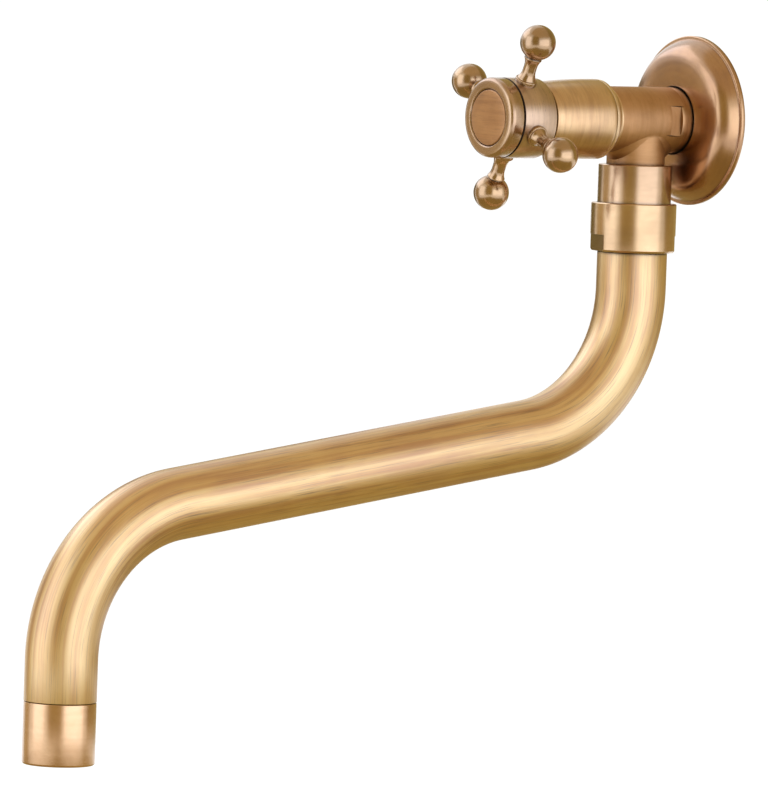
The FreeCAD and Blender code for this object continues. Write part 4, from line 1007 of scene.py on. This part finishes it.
def make_camera():
    """The camera's place and lens, as fitted to the ellipses of the round pieces and the tube's run."""
    back = towards(0.0, CAMERA_HEIGHT)
    level = Vector((math.cos(math.radians(CAMERA_AZIMUTH)), math.sin(math.radians(CAMERA_AZIMUTH)), 0.0))
    up = back.cross(level)
    roll = math.radians(CAMERA_ROLL)
    side = level * math.cos(roll) + up * math.sin(roll)
    top = up * math.cos(roll) - level * math.sin(roll)
    place = Matrix((side, top, back)).transposed().to_4x4()
    place.translation = AIM + back * CAMERA_DISTANCE
    alone()
    bpy.ops.object.camera_add()
    camera = bpy.context.object
    camera.name = "photo_camera"
    camera.matrix_world = place
    camera.data.sensor_width = SENSOR
    camera.data.lens = LENS
    camera.data.clip_end = 200.0
    bpy.context.scene.camera = camera


def face_the_tap(piece, right_angle, height_angle, distance):
    direction = towards(right_angle, height_angle)
    piece.location = AIM + direction * distance
    piece.rotation_mode = "QUATERNION"
    piece.rotation_quaternion = direction.to_track_quat("Z", "Y")


def softbox(name, right_angle, height_angle, distance, width, height, brightness):
    """A lit panel that faces the tap. brightness is that of the panel itself, where 1 is white."""
    alone()
    bpy.ops.object.light_add(type="AREA")
    lamp = bpy.context.object
    lamp.name = name
    face_the_tap(lamp, right_angle, height_angle, distance)
    lamp.data.shape = "RECTANGLE"
    lamp.data.size = width
    lamp.data.size_y = height
    lamp.data.energy = brightness * math.pi * width * height
    lamp.data.color = PANEL_COLOUR
    lamp.visible_camera = False


def dark_card(name, right_angle, height_angle, distance, width, height, shade, tint):
    """A tinted card beside the tap that only its gloss sees."""
    alone()
    bpy.ops.mesh.primitive_plane_add(size=1.0)
    card = bpy.context.object
    card.name = name
    face_the_tap(card, right_angle, height_angle, distance)
    card.scale = (width, height, 1.0)
    finish = Finish(name)
    finish.shader.inputs["Base Color"].default_value = (0.0, 0.0, 0.0, 1.0)
    finish.shader.inputs["Specular IOR Level"].default_value = 0.0
    finish.shader.inputs["Emission Color"].default_value = (*(shade * part for part in tint), 1.0)
    finish.shader.inputs["Emission Strength"].default_value = 1.0
    coat_with(card, finish.material)
    card.visible_camera = False
    card.visible_diffuse = False
    card.visible_shadow = False


def seen_directly(tree):
    """1 for rays from the camera, from gloss and through clear pieces, and 0 for the others."""
    rays = tree.nodes.new("ShaderNodeLightPath")
    seen = rays.outputs["Is Camera Ray"]
    for kind in ("Is Glossy Ray", "Is Transmission Ray"):
        larger = tree.nodes.new("ShaderNodeMath")
        larger.operation = "MAXIMUM"
        tree.links.new(seen, larger.inputs[0])
        tree.links.new(rays.outputs[kind], larger.inputs[1])
        seen = larger.outputs[0]
    return seen


def make_floor():
    """A plain pale floor. It isn't seen from below."""
    alone()
    bpy.ops.mesh.primitive_plane_add(size=160.0, location=(0.0, 0.0, FLOOR_HEIGHT))
    floor = bpy.context.object
    floor.name = "studio_floor"
    finish = Finish("pale_floor")
    finish.shader.inputs["Base Color"].default_value = (0.8, 0.8, 0.8, 1.0)
    finish.shader.inputs["Roughness"].default_value = 1.0
    finish.shader.inputs["Specular IOR Level"].default_value = 0.0
    finish.shader.inputs["Emission Color"].default_value = (1.0, 1.0, 1.0, 1.0)
    glow = finish.math("MULTIPLY", seen_directly(finish.tree), FLOOR_GLOW)
    finish.feed(glow, finish.shader.inputs["Emission Strength"])
    clear = finish.node("BsdfTransparent")
    blend = finish.node("MixShader")
    finish.feed(finish.node("NewGeometry").outputs["Backfacing"], blend.inputs["Fac"])
    finish.feed(finish.shader.outputs[0], blend.inputs[1])
    finish.feed(clear.outputs[0], blend.inputs[2])
    finish.feed(blend.outputs[0], finish.tree.nodes["Material Output"].inputs["Surface"])
    coat_with(floor, finish.material)


def make_sky():
    """Even light all round, and a white background for what the camera and the gloss see."""
    world = bpy.data.worlds.new("studio")
    bpy.context.scene.world = world
    world.use_nodes = True
    tree = world.node_tree
    background = tree.nodes["Background"]
    background.inputs["Color"].default_value = (1.0, 1.0, 1.0, 1.0)
    strength = tree.nodes.new("ShaderNodeMapRange")
    strength.inputs["To Min"].default_value = ROOM_LIGHT
    strength.inputs["To Max"].default_value = 1.0
    tree.links.new(seen_directly(tree), strength.inputs["Value"])
    tree.links.new(strength.outputs["Result"], background.inputs["Strength"])


make_camera()
make_floor()
make_sky()
for panel in PANELS:
    softbox(*panel)
for card in CARDS:
    dark_card(*card)

bpy.context.scene.view_settings.view_transform = "Standard"
